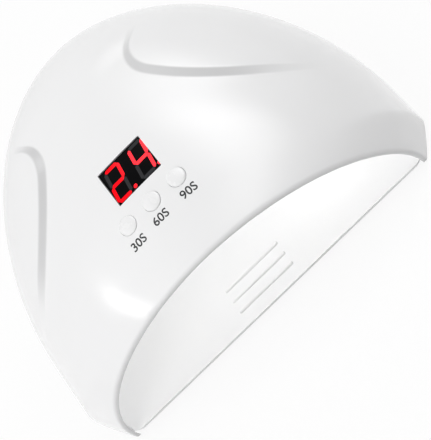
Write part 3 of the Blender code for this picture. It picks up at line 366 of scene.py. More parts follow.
SCREW_ZINC = Finish("screw_zinc", "screw_steel", (0.56, 0.56, 0.57), (0.46, 0.46, 0.47),
                    pattern=Pattern.BRUSHED, pattern_size=1.2 * MM, roughness=(0.28, 0.42),
                    grain_size=0.25 * MM, relief=0.004 * MM, metallic=1.0)
LEAD_VINYL = Finish("lead_vinyl", "lead_black", (0.018, 0.018, 0.018), (0.03, 0.03, 0.03),
                    pattern_size=4.0 * MM, roughness=(0.42, 0.52), grain_size=0.4 * MM, relief=0.006 * MM)
LINK_VINYL = Finish("link_vinyl", "link_red", (0.42, 0.015, 0.015), (0.34, 0.012, 0.012),
                    pattern_size=4.0 * MM, roughness=(0.38, 0.48), grain_size=0.4 * MM, relief=0.006 * MM)


class Bench:
    """Modelling moves made by hand on one mesh at a time."""

    @staticmethod
    def clear() -> None:
        """Leave edit mode and deselect everything."""
        if bpy.context.object is not None and bpy.context.object.mode != "OBJECT":
            bpy.ops.object.mode_set(mode="OBJECT")
        bpy.ops.object.select_all(action="DESELECT")

    @staticmethod
    def hold(obj: bpy.types.Object) -> None:
        """Make one object the only selected one, and active.

        Args:
            obj: Object that is selected.
        """
        Bench.clear()
        obj.select_set(True)
        bpy.context.view_layer.objects.active = obj

    @staticmethod
    def edit(obj: bpy.types.Object) -> None:
        """Open one object in edit mode with all of its mesh selected.

        Args:
            obj: Object that is opened.
        """
        Bench.hold(obj)
        bpy.ops.object.mode_set(mode="EDIT")
        bpy.ops.mesh.select_mode(type="VERT")
        bpy.ops.mesh.select_all(action="SELECT")

    @staticmethod
    def pick_faces(obj: bpy.types.Object, test: Callable[[Vector, Vector], bool]) -> None:
        """Select the faces of the open mesh that pass a test of their middle and normal.

        Args:
            obj: Object in edit mode.
            test: Says for a face's middle and normal whether it is picked.
        """
        bpy.ops.mesh.select_mode(type="FACE")
        bpy.ops.mesh.select_all(action="DESELECT")
        mesh = bmesh.from_edit_mesh(obj.data)
        mesh.normal_update()
        for face in mesh.faces:
            face.select_set(test(face.calc_center_median(), face.normal))
        bmesh.update_edit_mesh(obj.data)

    @staticmethod
    def pick_edges(obj: bpy.types.Object, test: Callable[[Vector, Vector], bool]) -> None:
        """Select the edges of the open mesh that pass a test of their two ends.

        Args:
            obj: Object in edit mode.
            test: Says for an edge's two ends whether it is picked.
        """
        bpy.ops.mesh.select_mode(type="EDGE")
        bpy.ops.mesh.select_all(action="DESELECT")
        mesh = bmesh.from_edit_mesh(obj.data)
        for edge in mesh.edges:
            edge.select_set(test(edge.verts[0].co, edge.verts[1].co))
        bmesh.update_edit_mesh(obj.data)

    @staticmethod
    def close(obj: bpy.types.Object) -> None:
        """Merge doubles, fill open rims and turn the faces outwards, then leave edit mode.

        Args:
            obj: Object whose mesh is closed.
        """
        Bench.edit(obj)
        bpy.ops.mesh.remove_doubles(threshold=MERGE)
        bpy.ops.mesh.select_mode(type="EDGE")
        bpy.ops.mesh.select_all(action="DESELECT")
        bpy.ops.mesh.select_non_manifold(extend=False, use_wire=False, use_boundary=True,
                                         use_multi_face=False, use_non_contiguous=False, use_verts=False)
        if any(edge.select for edge in bmesh.from_edit_mesh(obj.data).edges):
            bpy.ops.mesh.fill()
        bpy.ops.mesh.select_all(action="SELECT")
        bpy.ops.mesh.normals_make_consistent(inside=False)
        bpy.ops.object.mode_set(mode="OBJECT")

    @staticmethod
    def settle(obj: bpy.types.Object, place: Matrix) -> None:
        """Carry a mesh to its place, leaving its object at the origin.

        Args:
            obj: Object at the origin.
            place: Matrix from the mesh's frame to the row frame.
        """
        Bench.hold(obj)
        obj.matrix_world = place
        bpy.ops.object.transform_apply(location=True, rotation=True, scale=True)

    @staticmethod
    def apply(obj: bpy.types.Object, modifier: bpy.types.Modifier) -> None:
        """Apply one modifier of an object."""
        Bench.hold(obj)
        bpy.ops.object.modifier_apply(modifier=modifier.name)

    @staticmethod
    def combine(target: bpy.types.Object, tool: bpy.types.Object, operation: str) -> None:
        """Join or cut a piece with a tool, which is used up.

        Args:
            target: Piece that is changed.
            tool: Closed mesh that joins or cuts it.
            operation: UNION, DIFFERENCE or INTERSECT.
        """
        modifier = target.modifiers.new("tool", "BOOLEAN")
        modifier.operation = operation
        modifier.solver = "EXACT"
        modifier.object = tool
        Bench.apply(target, modifier)
        bpy.data.objects.remove(tool, do_unlink=True)

    @staticmethod
    def bevel(obj: bpy.types.Object, width: float, segments: int, angle: float = 40.0) -> None:
        """Round all edges sharper than an angle in degrees.

        Args:
            obj: Object that is rounded.
            width: Width of the rounding.
            segments: Steps of the rounding.
            angle: Least angle of an edge that is rounded.
        """
        modifier = obj.modifiers.new("round", "BEVEL")
        modifier.width = width
        modifier.segments = segments
        modifier.limit_method = "ANGLE"
        modifier.angle_limit = math.radians(angle)
        Bench.apply(obj, modifier)

    @staticmethod
    def grid(columns: int, rows: int) -> bpy.types.Object:
        """Flat grid over x and y from -1 to 1, to be laid on a shape.

        Args:
            columns: Cells across.
            rows: Cells along.

        Returns:
            The flat grid.
        """
        Bench.clear()
        bpy.ops.mesh.primitive_grid_add(x_subdivisions=columns, y_subdivisions=rows, size=2.0)
        return bpy.context.object

    @staticmethod
    def lay(obj: bpy.types.Object, rule: Callable[[float, float], Vector]) -> None:
        """Move each point of a flat grid to the place that a rule gives for its x and y."""
        for vertex in obj.data.vertices:
            vertex.co = rule(vertex.co.x, vertex.co.y)

    @staticmethod
    def block(size: Sequence[float], middle: Sequence[float]) -> bpy.types.Object:
        """Box of a size at a place, left open to shaping.

        Args:
            size: Lengths along x, y and z.
            middle: Place of its middle.

        Returns:
            The box.
        """
        Bench.clear()
        bpy.ops.mesh.primitive_cube_add(size=1.0)
        obj = bpy.context.object
        bpy.ops.object.mode_set(mode="EDIT")
        bpy.ops.transform.resize(value=tuple(size))
        bpy.ops.transform.translate(value=tuple(middle))
        bpy.ops.object.mode_set(mode="OBJECT")
        return obj

    @staticmethod
    def turned(profile: Profile, sides: int) -> bpy.types.Object:
        """Turned piece: a disc or ring that is extruded and resized along a profile of radius and height.

        Args:
            profile: Radius and height of each ring; where the last meets the first, the piece is hollow.
            sides: Points of each ring.

        Returns:
            The closed piece, about the z axis.
        """
        Bench.clear()
        start = "NOTHING" if profile[0] == profile[-1] else "NGON"
        bpy.ops.mesh.primitive_circle_add(vertices=sides, radius=profile[0][0], fill_type=start)
        obj = bpy.context.object
        bpy.ops.object.mode_set(mode="EDIT")
        bpy.ops.mesh.select_all(action="SELECT")
        bpy.ops.transform.translate(value=(0.0, 0.0, profile[0][1]))
        for (radius, height), (next_radius, next_height) in zip(profile, profile[1:]):
            rise = {"value": (0.0, 0.0, next_height - height)}
            bpy.ops.mesh.extrude_region_move(TRANSFORM_OT_translate=rise)
            share = next_radius / radius
            bpy.ops.transform.resize(value=(share, share, 1.0), center_override=(0.0, 0.0, next_height))
        bpy.ops.object.mode_set(mode="OBJECT")
        Bench.close(obj)
        return obj

    @staticmethod
    def copied(obj: bpy.types.Object, place: Matrix) -> bpy.types.Object:
        """Copy of a piece with a mesh of its own, carried to a place.

        Args:
            obj: Piece that is copied.
            place: Matrix that carries the copy.

        Returns:
            The copy.
        """
        twin = obj.copy()
        twin.data = obj.data.copy()
        bpy.context.scene.collection.objects.link(twin)
        Bench.settle(twin, place)
        return twin

    @staticmethod
    def joined(pieces: Sequence[bpy.types.Object]) -> bpy.types.Object:
        """Several meshes made one.

        Args:
            pieces: Pieces, which are used up.

        Returns:
            The one piece.
        """
        Bench.hold(pieces[0])
        for piece in pieces[1:]:
            piece.select_set(True)
        bpy.ops.object.join()
        return bpy.context.object


@dataclass(frozen=True)
class Dresser:
    """Names pieces, gives them their finish and hangs them on the CAD bodies."""

    smooth_angle: float = 32.0

    def dress(self, obj: bpy.types.Object, name: str, finish: Finish, body: str = "housing",
              nodes: Sequence[str] = ()) -> None:
        """Finish one piece.

        Args:
            obj: Piece, with its place in its mesh.
            name: Its name.
            finish: Its finish.
            body: CAD body that it rides on.
            nodes: CAD nodes that it stands for.
        """
        Bench.hold(obj)
        bpy.ops.object.shade_smooth_by_angle(angle=math.radians(self.smooth_angle), keep_sharp_edges=False)
        obj.name = name
        obj.data.name = name
        obj.data.materials.clear()
        obj.data.materials.append(finish.material())
        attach(obj, body)
        if nodes:
            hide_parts(*nodes)
        LOG.info("%s: %d faces on %s", name, len(obj.data.polygons), body)


@dataclass(frozen=True)
class DomeForm:
    """Rule of the dome's surface in the lamp's own frame."""

    width: float = 186.4 * MM
    depth: float = 154.7 * MM
    height: float = 82.7 * MM
    brow_height: float = 63.7 * MM
    brow_lift: float = 1.6 * MM
    widest_y: float = 40.3 * MM
    crest_y: float = 88.8 * MM
    plan_power: float = 1.84
    rear_power: float = 2.31
    brow_power: float = 1.71
    section_powers: tuple[float, float, float] = (1.92, 2.33, 1.84)
    roll_in: float = 9.7 * MM
    roll_length: float = 15.4 * MM
    roll_power: float = 1.44
    band_power: float = 1.15
    band_brow_share: float = 0.33
    band_reach: tuple[float, float] = (math.radians(33.0), math.radians(66.0))
    lean_share: float = 0.152
    lean_length: float = 60.0 * MM
    wall: float = 2.0 * MM
    step_rise: float = 2.0 * MM
    step_sink: float = 1.5 * MM
    step_width: float = 2.8 * MM
    step_rounding: float = 0.4 * MM
    step_reach: tuple[float, float] = (2.0 * MM, 24.0 * MM)
    step_inner_x: float = 16.7 * MM
    step_front_y: float = 24.6 * MM
    step_run_y: float = 66.6 * MM
    step_sweep: float = 32.1 * MM
    step_back_y: float = 71.6 * MM
    step_back_slope: float = 0.724
    step_corner: float = 12.0 * MM
    step_fade_z: tuple[float, float] = (42.0 * MM, 66.0 * MM)
    step_fade_y: tuple[float, float] = (83.0 * MM, 98.0 * MM)
    search_steps: int = 40

    def half_width(self, y: float, inset: float, angle: float = QUARTER) -> float:
        """Half width at station y for an angle of the arch, with the surface moved in by inset.

        Args:
            y: Station along the dome.
            inset: Depth under the outer skin.
            angle: Angle along the arch.

        Returns:
            The half width.
        """
        reach = self.depth - inset - self.widest_y
        down = abs(angle) / QUARTER
        length = self.roll_length * (self.band_brow_share + (1.0 - self.band_brow_share) * down)
        band = max(1.0 - y / length, 0.0) ** self.band_power
        roll = max(1.0 - y / self.roll_length, 0.0) ** self.roll_power
        roll += (band - roll) * ease(abs(angle), *self.band_reach)
        round_plan = rounded_end((y - self.widest_y) / reach, self.plan_power)
        return (self.width / 2 - inset) * round_plan - self.roll_in * roll

    def roof(self, y: float, inset: float) -> float:
        """Height of the roof at station y, with the surface moved in by inset.

        Args:
            y: Station along the dome.
            inset: Depth under the outer skin.

        Returns:
            The height.
        """
        if y > self.crest_y:
            reach = self.depth - inset - self.crest_y
            return (self.height - inset) * rounded_end((y - self.crest_y) / reach, self.rear_power)
        roll = max(1.0 - y / self.roll_length, 0.0) ** self.roll_power
        fall = ((self.crest_y - y) / self.crest_y) ** self.brow_power
        return self.height - inset - (self.height - self.brow_height) * fall + self.brow_lift * roll

    def power(self, y: float) -> float:
        """Superellipse power of the section at station y.

        Args:
            y: Station along the dome.

        Returns:
            Power from the front, middle and rear ones, on a parabola through them.
        """
        front, middle, rear = self.section_powers
        share = clamp(y / self.depth)
        return (front * (1 - share) * (1 - 2 * share) + 4 * middle * share * (1 - share)
                + rear * share * (2 * share - 1))

    def lean(self, y: float, z: float) -> float:
        """Forward lean of the front arch at station y and height z."""
        return self.lean_share * max(1.0 - y / self.lean_length, 0.0) * z

    def plain_point(self, y: float, angle: float, inset: float) -> Vector:
        """Point of the surface without its shoulder step."""
        x, z = arch_point(self.half_width(y, inset, angle), self.roof(y, inset), self.power(y), angle)
        return Vector((x, y - self.lean(y, z), z))

    def step_place(self, point: Vector) -> tuple[float, float]:
        """Where a point lies on the shoulder step.

        Args:
            point: Point of the plain surface.

        Returns:
            Distance behind the foot of the step, and the share of its height that is left there.
        """
        x = abs(point.x)
        sweep = self.step_run_y * math.exp((self.step_inner_x - x) / self.step_sweep)
        from_front = (point.y - self.step_front_y - sweep) * math.cos(math.atan(sweep / self.step_sweep))
        back = self.step_inner_x + max(point.y - self.step_back_y, 0.0) * self.step_back_slope
        from_back = (x - back) * math.cos(math.atan(self.step_back_slope))
        fade = ease(point.z, *self.step_fade_z) * (1.0 - ease(point.y, *self.step_fade_y))
        return soft_min(from_front, from_back, self.step_corner), fade

    def point(self, y: float, angle: float, inset: float) -> Vector:
        """Point of the surface at station y and angle, moved in by inset, with the shoulder step.

        Args:
            y: Station along the dome.
            angle: Angle along the arch.
            inset: Depth under the outer skin.

        Returns:
            The point in the lamp's own frame.
        """
        point = self.plain_point(y, angle, inset)
        inside, fade = self.step_place(point)
        outward = Vector((point.x, 0.0, point.z))
        if outward.length < MM or fade <= 0.0:
            return point
        rise = self.step_rise * rounded_ramp(inside, self.step_width, self.step_rounding) - self.step_sink
        near = 1.0 - ease(abs(inside - self.step_width / 2), *self.step_reach)
        return point + outward.normalized() * rise * near * fade

    def surface(self, x: float, y: float) -> Vector:
        """Point of the plain outer surface over x and y, in front of the crest.

        Args:
            x: Place across.
            y: Place along the lamp.

        Returns:
            The point in the lamp's own frame.
        """
        low, high = 0.0, self.crest_y
        height = 0.0
        for _ in range(self.search_steps):
            station = (low + high) / 2
            power = self.power(station)
            share = abs(x) / self.half_width(station, 0.0)
            height = self.roof(station, 0.0) * (1.0 - share ** power) ** (1.0 / power)
            if station - self.lean(station, height) < y:
                low = station
            else:
                high = station
        return Vector((x, y, height))


@dataclass(frozen=True)
class PanelFrame:
    """Frame of the control panel on the dome: x across, y up the slope, z out of the dome."""

    form: DomeForm
    station: float = 42.0 * MM
    slope_run: float = 16.6 * MM
    button_drop: float = 17.3 * MM
    button_x: tuple[float, ...] = (-13.2 * MM, 0.0, 13.2 * MM)
    window_middle: tuple[float, float] = (0.4 * MM, -0.2 * MM)

    def origin(self) -> Vector:
        """Middle of the display on the dome, in the lamp's own frame."""
        return self.form.point(self.station, 0.0, 0.0)

    def tilt(self) -> float:
        """Slope of the dome from the button row up to the display."""
        rise = self.origin() - self.form.point(self.station - self.slope_run, 0.0, 0.0)
        return math.atan2(rise.z, rise.y)

    def place(self) -> Matrix:
        """Matrix from the panel's frame to the row frame."""
        return LAMP_PLACE @ Matrix.Translation(self.origin()) @ Matrix.Rotation(self.tilt(), 4, "X")

    def drop(self, x: float, v: float) -> float:
        """Height of the dome's surface over the panel's plane at x across and v up the slope.

        Args:
            x: Place across.
            v: Place up the slope.

        Returns:
            Height of the surface, below zero where it falls away.
        """
        tilt = self.tilt()
        point = self.form.surface(x, self.origin().y + v * math.cos(tilt))
        return (point.z - self.origin().z - v * math.sin(tilt)) * math.cos(tilt)


@dataclass
class DomeShell:
    """Glossy moulded dome with its window, button holes and socket pad."""

    form: DomeForm
    panel: PanelFrame
    columns: int = 150
    rear_rows: int = 54
    middle_rows: int = 66
    nose_rows: int = 7
    face_rows: int = 2
    lip_rows: int = 2
    inner_rows: int = 46
    nose_top: float = 1.7 * MM
    nose_leg: float = 0.5 * MM
    lip: float = 0.3 * MM
    step_margin: float = 1.3 * MM
    step_cuts: int = 3
    step_least: float = 0.01
    # Painted shade: the soft edge of its grey across the step, its share round the rim and inner skin, and
    # its fade with height.
    painted_shade_edge: float = 0.5 * MM
    rim_painted_shade: float = 0.9
    painted_shade_fade_z: tuple[float, float] = (50.0 * MM, 71.0 * MM)
    window: tuple[float, float] = (22.7 * MM, 17.4 * MM)
    window_corner: float = 0.4 * MM
    window_rounds: int = 4
    hole_radius: float = 4.05 * MM
    hole_sides: int = 72
    jack_z: float = 11.0 * MM
    jack_hole: float = 4.3 * MM
    jack_sides: int = 48
    pad_radius: float = 7.2 * MM
    pad_proud: float = 0.2 * MM
    pad_edge: tuple[float, float] = (0.5 * MM, 0.3 * MM)
    pad_root: float = 0.9
    pad_sides: int = 64
    cut_reach: float = 6.0 * MM

    def rows(self) -> int:
        """Rows of the grid, once round the wall from the outer rear to the inner rear."""
        return (self.rear_rows + self.middle_rows + self.nose_rows + self.face_rows + self.lip_rows
                + self.inner_rows)

    def outer_rows(self) -> int:
        """Rows of the outer skin."""
        return self.rear_rows + self.middle_rows

    def nose(self, angle: float) -> float:
        """Radius of the rounded front rim at an angle of the arch."""
        return self.nose_leg + (self.nose_top - self.nose_leg) * max(math.cos(angle), 0.0)

    def station(self, row: float, angle: float) -> tuple[float, float]:
        """Station and inset of the wall's section at a row.

        Args:
            row: Row of the grid, whole or between two rows.
            angle: Angle along the arch.

        Returns:
            Station along the dome and depth under its outer skin.
        """
        form, nose = self.form, self.nose(angle)
        if row <= self.rear_rows:
            reach = form.depth - form.crest_y
            return form.crest_y + reach * math.sin(QUARTER * (1.0 - row / self.rear_rows)), 0.0
        row -= self.rear_rows
        if row <= self.middle_rows:
            return form.crest_y + (nose - form.crest_y) * row / self.middle_rows, 0.0
        row -= self.middle_rows
        if row <= self.nose_rows:
            turn = QUARTER * row / self.nose_rows
            return nose * (1.0 - math.sin(turn)), nose * (1.0 - math.cos(turn))
        row -= self.nose_rows
        if row <= self.face_rows:
            return 0.0, nose + (form.wall - self.lip - nose) * row / self.face_rows
        row -= self.face_rows
        if row <= self.lip_rows:
            turn = QUARTER * row / self.lip_rows
            return self.lip * (1.0 - math.cos(turn)), form.wall - self.lip * (1.0 - math.sin(turn))
        share = (row - self.lip_rows) / self.inner_rows
        reach = form.depth - form.wall
        return self.lip + (reach - self.lip) * math.sin(QUARTER * share), form.wall

    def lay_point(self, across: float, along: float) -> Vector:
        """Point of the wall for a point of the flat grid.

        Args:
            across: Place across the flat grid, -1 to 1.
            along: Place along the flat grid, -1 to 1.

        Returns:
            The point in the lamp's own frame.
        """
        angle = QUARTER * across
        station, inset = self.station((along + 1.0) / 2 * self.rows(), angle)
        return self.form.point(station, angle, inset)

    def on_skin(self, spot: Vector) -> Vector | None:
        """Place on the plain outer skin of a point of the flat grid, or None off that skin.

        Args:
            spot: Point of the flat grid.

        Returns:
            The point of the skin, if it is on it.
        """
        row, angle = (spot.y + 1.0) / 2 * self.rows(), QUARTER * spot.x
        if row > self.outer_rows():
            return None
        station, inset = self.station(row, angle)
        return self.form.plain_point(station, angle, inset)

    def near_step(self, middle: Vector) -> bool:
        """Whether a face of the flat grid comes to lie on or beside the shoulder step.

        Args:
            middle: Middle of the face.

        Returns:
            Whether it does.
        """
        point = self.on_skin(middle)
        if point is None:
            return False
        inside, fade = self.form.step_place(point)
        return fade > self.step_least and -self.step_margin < inside < self.form.step_width + self.step_margin

    def painted_step_shade(self, spot: Vector) -> float:
        """Share of painted shade at a point of the flat grid: grey on the step's slope and round the rim,
        where shade falls.

        Args:
            spot: Point of the flat grid.

        Returns:
            The share, 0 to 1.
        """
        point = self.on_skin(spot)
        if point is None:
            row = (spot.y + 1.0) / 2 * self.rows() - self.outer_rows()
            return self.rim_painted_shade * ease(row, 0.0, self.nose_rows)
        inside, fade = self.form.step_place(point)
        edge, width = self.painted_shade_edge, self.form.step_width
        slope = ease(inside, -edge, edge) * (1.0 - ease(inside, width - edge, width + edge))
        return slope * fade * ease(point.z, *self.painted_shade_fade_z)

    def paint_step_shade(self, shell: bpy.types.Object) -> None:
        """Keep the share of painted shade on each point of the flat grid, for the finish.

        Args:
            shell: Flat grid, before it is laid.
        """
        painted_shade_layer = shell.data.attributes.new(PAINTED_SHADE_NAME, "FLOAT", "POINT")
        for vertex, value in zip(shell.data.vertices, painted_shade_layer.data):
            value.value = self.painted_step_shade(vertex.co)

    def build(self) -> bpy.types.Object:
        """Model the dome.

        Returns:
            The closed shell in the row frame.
        """
        shell = Bench.grid(self.columns, self.rows())
        Bench.edit(shell)
        Bench.pick_faces(shell, lambda middle, normal: self.near_step(middle))
        bpy.ops.mesh.subdivide(number_cuts=self.step_cuts, ngon=False)
        bpy.ops.object.mode_set(mode="OBJECT")
        self.paint_step_shade(shell)
        Bench.lay(shell, self.lay_point)
        Bench.close(shell)
        Bench.settle(shell, LAMP_PLACE)
        Bench.combine(shell, self.socket_pad(), "UNION")
        Bench.combine(shell, self.openings(), "DIFFERENCE")
        return shell

    def socket_pad(self) -> bpy.types.Object:
        """Flat round pad under the socket's flange.

        Returns:
            The pad in the row frame.
        """
        wide, (slope, fall) = self.pad_radius, self.pad_edge
        rings = [(wide - slope, self.pad_proud), (wide, -fall), (wide, -self.form.wall * self.pad_root)]
        pad = Bench.turned(rings, self.pad_sides)
        Bench.settle(pad, self.jack_place())
        return pad

    def jack_place(self) -> Matrix:
        """Matrix from a turned piece's frame to the socket, with z out of the rear wall."""
        spot = Vector((0.0, self.form.depth, self.jack_z))
        return LAMP_PLACE @ Matrix.Translation(spot) @ Matrix.Rotation(-QUARTER, 4, "X")

    def openings(self) -> bpy.types.Object:
        """Tool that cuts the window, the button holes and the socket's hole.

        Returns:
            The tool in the row frame.
        """
        window = Bench.block((*self.window, 2 * self.cut_reach), (*self.panel.window_middle, 0.0))
        Bench.edit(window)
        Bench.pick_edges(window, lambda a, b: abs(a.z - b.z) > self.cut_reach)
        bpy.ops.mesh.bevel(offset=self.window_corner, segments=self.window_rounds)
        bpy.ops.object.mode_set(mode="OBJECT")
        Bench.settle(window, self.panel.place())
        tools = [window]
        wide, reach = self.hole_radius, self.cut_reach
        hole = Bench.turned([(wide, -reach), (wide, reach)], self.hole_sides)
        for x in self.panel.button_x:
            drop = self.panel.drop(x, -self.panel.button_drop)
            spot = Matrix.Translation((x, -self.panel.button_drop, drop))
            tools.append(Bench.copied(hole, self.panel.place() @ spot))
        bpy.data.objects.remove(hole, do_unlink=True)
        bore = Bench.turned([(self.jack_hole, -2 * reach), (self.jack_hole, reach)], self.jack_sides)
        Bench.settle(bore, self.jack_place())
        tools.append(bore)
        return Bench.joined(tools)

    def dress(self, dresser: Dresser, shell: bpy.types.Object) -> None:
        """Give the dome its finish and its place."""
        dresser.dress(shell, "dome_shell", SHELL_GLOSS, nodes=["top_shell"])


@dataclass
class BaseTray:
    """Tray under the hand, with rounded edges, three grip ribs and four pegs."""

    form: DomeForm
    thickness: float = 2.5 * MM
    front_y: float = 0.3 * MM
    corner: float = 2.2 * MM
    clear: float = 0.3 * MM
    edge: float = 0.6 * MM
    edge_rounds: int = 4
    edge_angle: float = 50.0
    undercut: float = 0.8 * MM
    columns: int = 24
    corner_rows: int = 10
    middle_rows: int = 26
    rear_rows: int = 40
    rib_size: tuple[float, float, float] = (30.6 * MM, 1.8 * MM, 0.8 * MM)
    rib_y: tuple[float, ...] = (8.0 * MM, 14.5 * MM, 21.0 * MM)
    rib_rounding: float = 0.7 * MM
    rib_rounds: int = 5
    peg_radius: float = 2.0 * MM
    peg_height: float = 6.0 * MM
    peg_taper: tuple[float, float] = (0.8 * MM, 0.25 * MM)
    peg_sides: int = 40
    peg_places: tuple[tuple[float, float], ...] = (
        (-82.9 * MM, 62.0 * MM), (82.9 * MM, 62.0 * MM), (-24.0 * MM, 141.0 * MM), (24.0 * MM, 141.0 * MM))

    def outline(self, row: float) -> tuple[float, float]:
        """Half width and y of the tray's outline at a row of the grid.

        Args:
            row: Row of the grid, from the front.

        Returns:
            The half width and y.
        """
        inset = self.form.wall + self.clear
        if row <= self.corner_rows:
            turn = QUARTER * row / self.corner_rows
            y = self.front_y + self.corner * (1.0 - math.cos(turn))
            return self.form.half_width(y, inset) - self.corner * (1.0 - math.sin(turn)), y
        row -= self.corner_rows
        start = self.front_y + self.corner
        if row <= self.middle_rows:
            y = start + (self.form.widest_y - start) * row / self.middle_rows
            return self.form.half_width(y, inset), y
        turn = QUARTER * (row - self.middle_rows) / self.rear_rows
        y = self.form.widest_y + (self.form.depth - inset - self.form.widest_y) * math.sin(turn)
        return self.form.half_width(y, inset), y

    def lay_point(self, across: float, along: float) -> Vector:
        """Point of the tray's flat top for a point of the grid."""
        half, y = self.outline((along + 1.0) / 2 * (self.corner_rows + self.middle_rows + self.rear_rows))
        return Vector((half * across, y, 0.0))

    def build(self) -> bpy.types.Object:
        """Model the tray.

        Returns:
            The tray in the row frame.
        """
        tray = Bench.grid(self.columns, self.corner_rows + self.middle_rows + self.rear_rows)
        Bench.lay(tray, self.lay_point)
        Bench.edit(tray)
        bpy.ops.mesh.remove_doubles(threshold=MERGE)
        bpy.ops.mesh.extrude_region_move(TRANSFORM_OT_translate={"value": (0.0, 0.0, self.thickness)})
        bpy.ops.object.mode_set(mode="OBJECT")
        Bench.close(tray)
        Bench.edit(tray)
        Bench.pick_faces(tray, lambda middle, normal: normal.z < -FACING)
        inwards = 2 * self.undercut
        narrow = (1.0 - inwards / self.form.width, 1.0 - inwards / self.form.depth, 1.0)
        bpy.ops.transform.resize(value=narrow, center_override=(0.0, self.form.depth / 2, 0.0))
        bpy.ops.object.mode_set(mode="OBJECT")
        Bench.bevel(tray, self.edge, self.edge_rounds, self.edge_angle)
        Bench.combine(tray, self.ribs_and_pegs(), "UNION")
        Bench.settle(tray, LAMP_PLACE)
        return tray

    def ribs_and_pegs(self) -> bpy.types.Object:
        """Rounded ribs and locating pegs, as one tool that joins the tray.

        Returns:
            The tool in the lamp's own frame.
        """
        long, wide, high = self.rib_size
        foot = self.thickness / 2
        rib = Bench.block((long, wide, high + foot), (0.0, 0.0, self.thickness + (high - foot) / 2))
        top = self.thickness + high
        Bench.edit(rib)
        Bench.pick_edges(rib, lambda a, b: abs(a.z - b.z) > foot or min(a.z, b.z) > top - HAIR)
        bpy.ops.mesh.bevel(offset=self.rib_rounding, segments=self.rib_rounds)
        bpy.ops.object.mode_set(mode="OBJECT")
        tools = [Bench.copied(rib, Matrix.Translation((0.0, y, 0.0))) for y in self.rib_y]
        bpy.data.objects.remove(rib, do_unlink=True)
        tip = self.thickness + self.peg_height
        radius, (slope, nose) = self.peg_radius, self.peg_taper
        peg = Bench.turned([(radius, foot), (radius, tip - slope), (radius - nose, tip - nose),
                            (radius - slope, tip)], self.peg_sides)
        tools += [Bench.copied(peg, Matrix.Translation((x, y, 0.0))) for x, y in self.peg_places]
        bpy.data.objects.remove(peg, do_unlink=True)
        return Bench.joined(tools)

    def dress(self, dresser: Dresser, tray: bpy.types.Object) -> None:
        """Give the tray its finish and its body."""
        dresser.dress(tray, "tray_plate", TRAY_SATIN, body="tray", nodes=["base_tray"])


@dataclass
class Feet:
    """Four rubber feet under the tray.

    Each ring is given by its step in from the side and its height over the ground.
    """

    radius: float = 5.0 * MM
    height: float = 1.5 * MM
    clear: float = 0.3 * MM
    rings: tuple[tuple[float, float], ...] = (
        (1.6 * MM, 0.25 * MM), (1.4 * MM, 0.0), (0.5 * MM, 0.0), (0.15 * MM, 0.15 * MM), (0.0, 0.5 * MM))
    sides: int = 48
    places: tuple[tuple[str, float, float], ...] = (
        ("front_left_foot", -75.2 * MM, 18.0 * MM), ("front_right_foot", 75.2 * MM, 18.0 * MM),
        ("rear_left_foot", -47.708 * MM, 116.0 * MM), ("rear_right_foot", 47.708 * MM, 116.0 * MM))

    def build(self) -> list[tuple[str, bpy.types.Object]]:
        """Model one foot and copy it to its four places.

        Returns:
            CAD node name and piece of each foot.
        """
        profile = [(self.radius - inwards, up - self.height) for inwards, up in self.rings]
        foot = Bench.turned(profile + [(self.radius, -self.clear)], self.sides)
        made = [(name, Bench.copied(foot, LAMP_PLACE @ Matrix.Translation((x, y, 0.0))))
                for name, x, y in self.places]
        bpy.data.objects.remove(foot, do_unlink=True)
        return made

    def dress(self, dresser: Dresser, feet: Sequence[tuple[str, bpy.types.Object]]) -> None:
        """Give the feet their finish and their body."""
        for node, foot in feet:
            dresser.dress(foot, node + "_pad", FOOT_RUBBER, body="tray", nodes=[node])


class Segment(Enum):
    """Bars of a seven-segment digit: middle in half widths and half heights, and upright or not."""

    TOP = (0.0, 1.0, False)
    UPPER_RIGHT = (1.0, 0.5, True)
    LOWER_RIGHT = (1.0, -0.5, True)
    BOTTOM = (0.0, -1.0, False)
    LOWER_LEFT = (-1.0, -0.5, True)
    UPPER_LEFT = (-1.0, 0.5, True)
    MIDDLE = (0.0, 0.0, False)


class Digit(Enum):
    """Lit bars of the digits that the display shows."""

    TWO = (Segment.TOP, Segment.UPPER_RIGHT, Segment.MIDDLE, Segment.LOWER_LEFT, Segment.BOTTOM)
    FOUR = (Segment.UPPER_LEFT, Segment.MIDDLE, Segment.UPPER_RIGHT, Segment.LOWER_RIGHT)


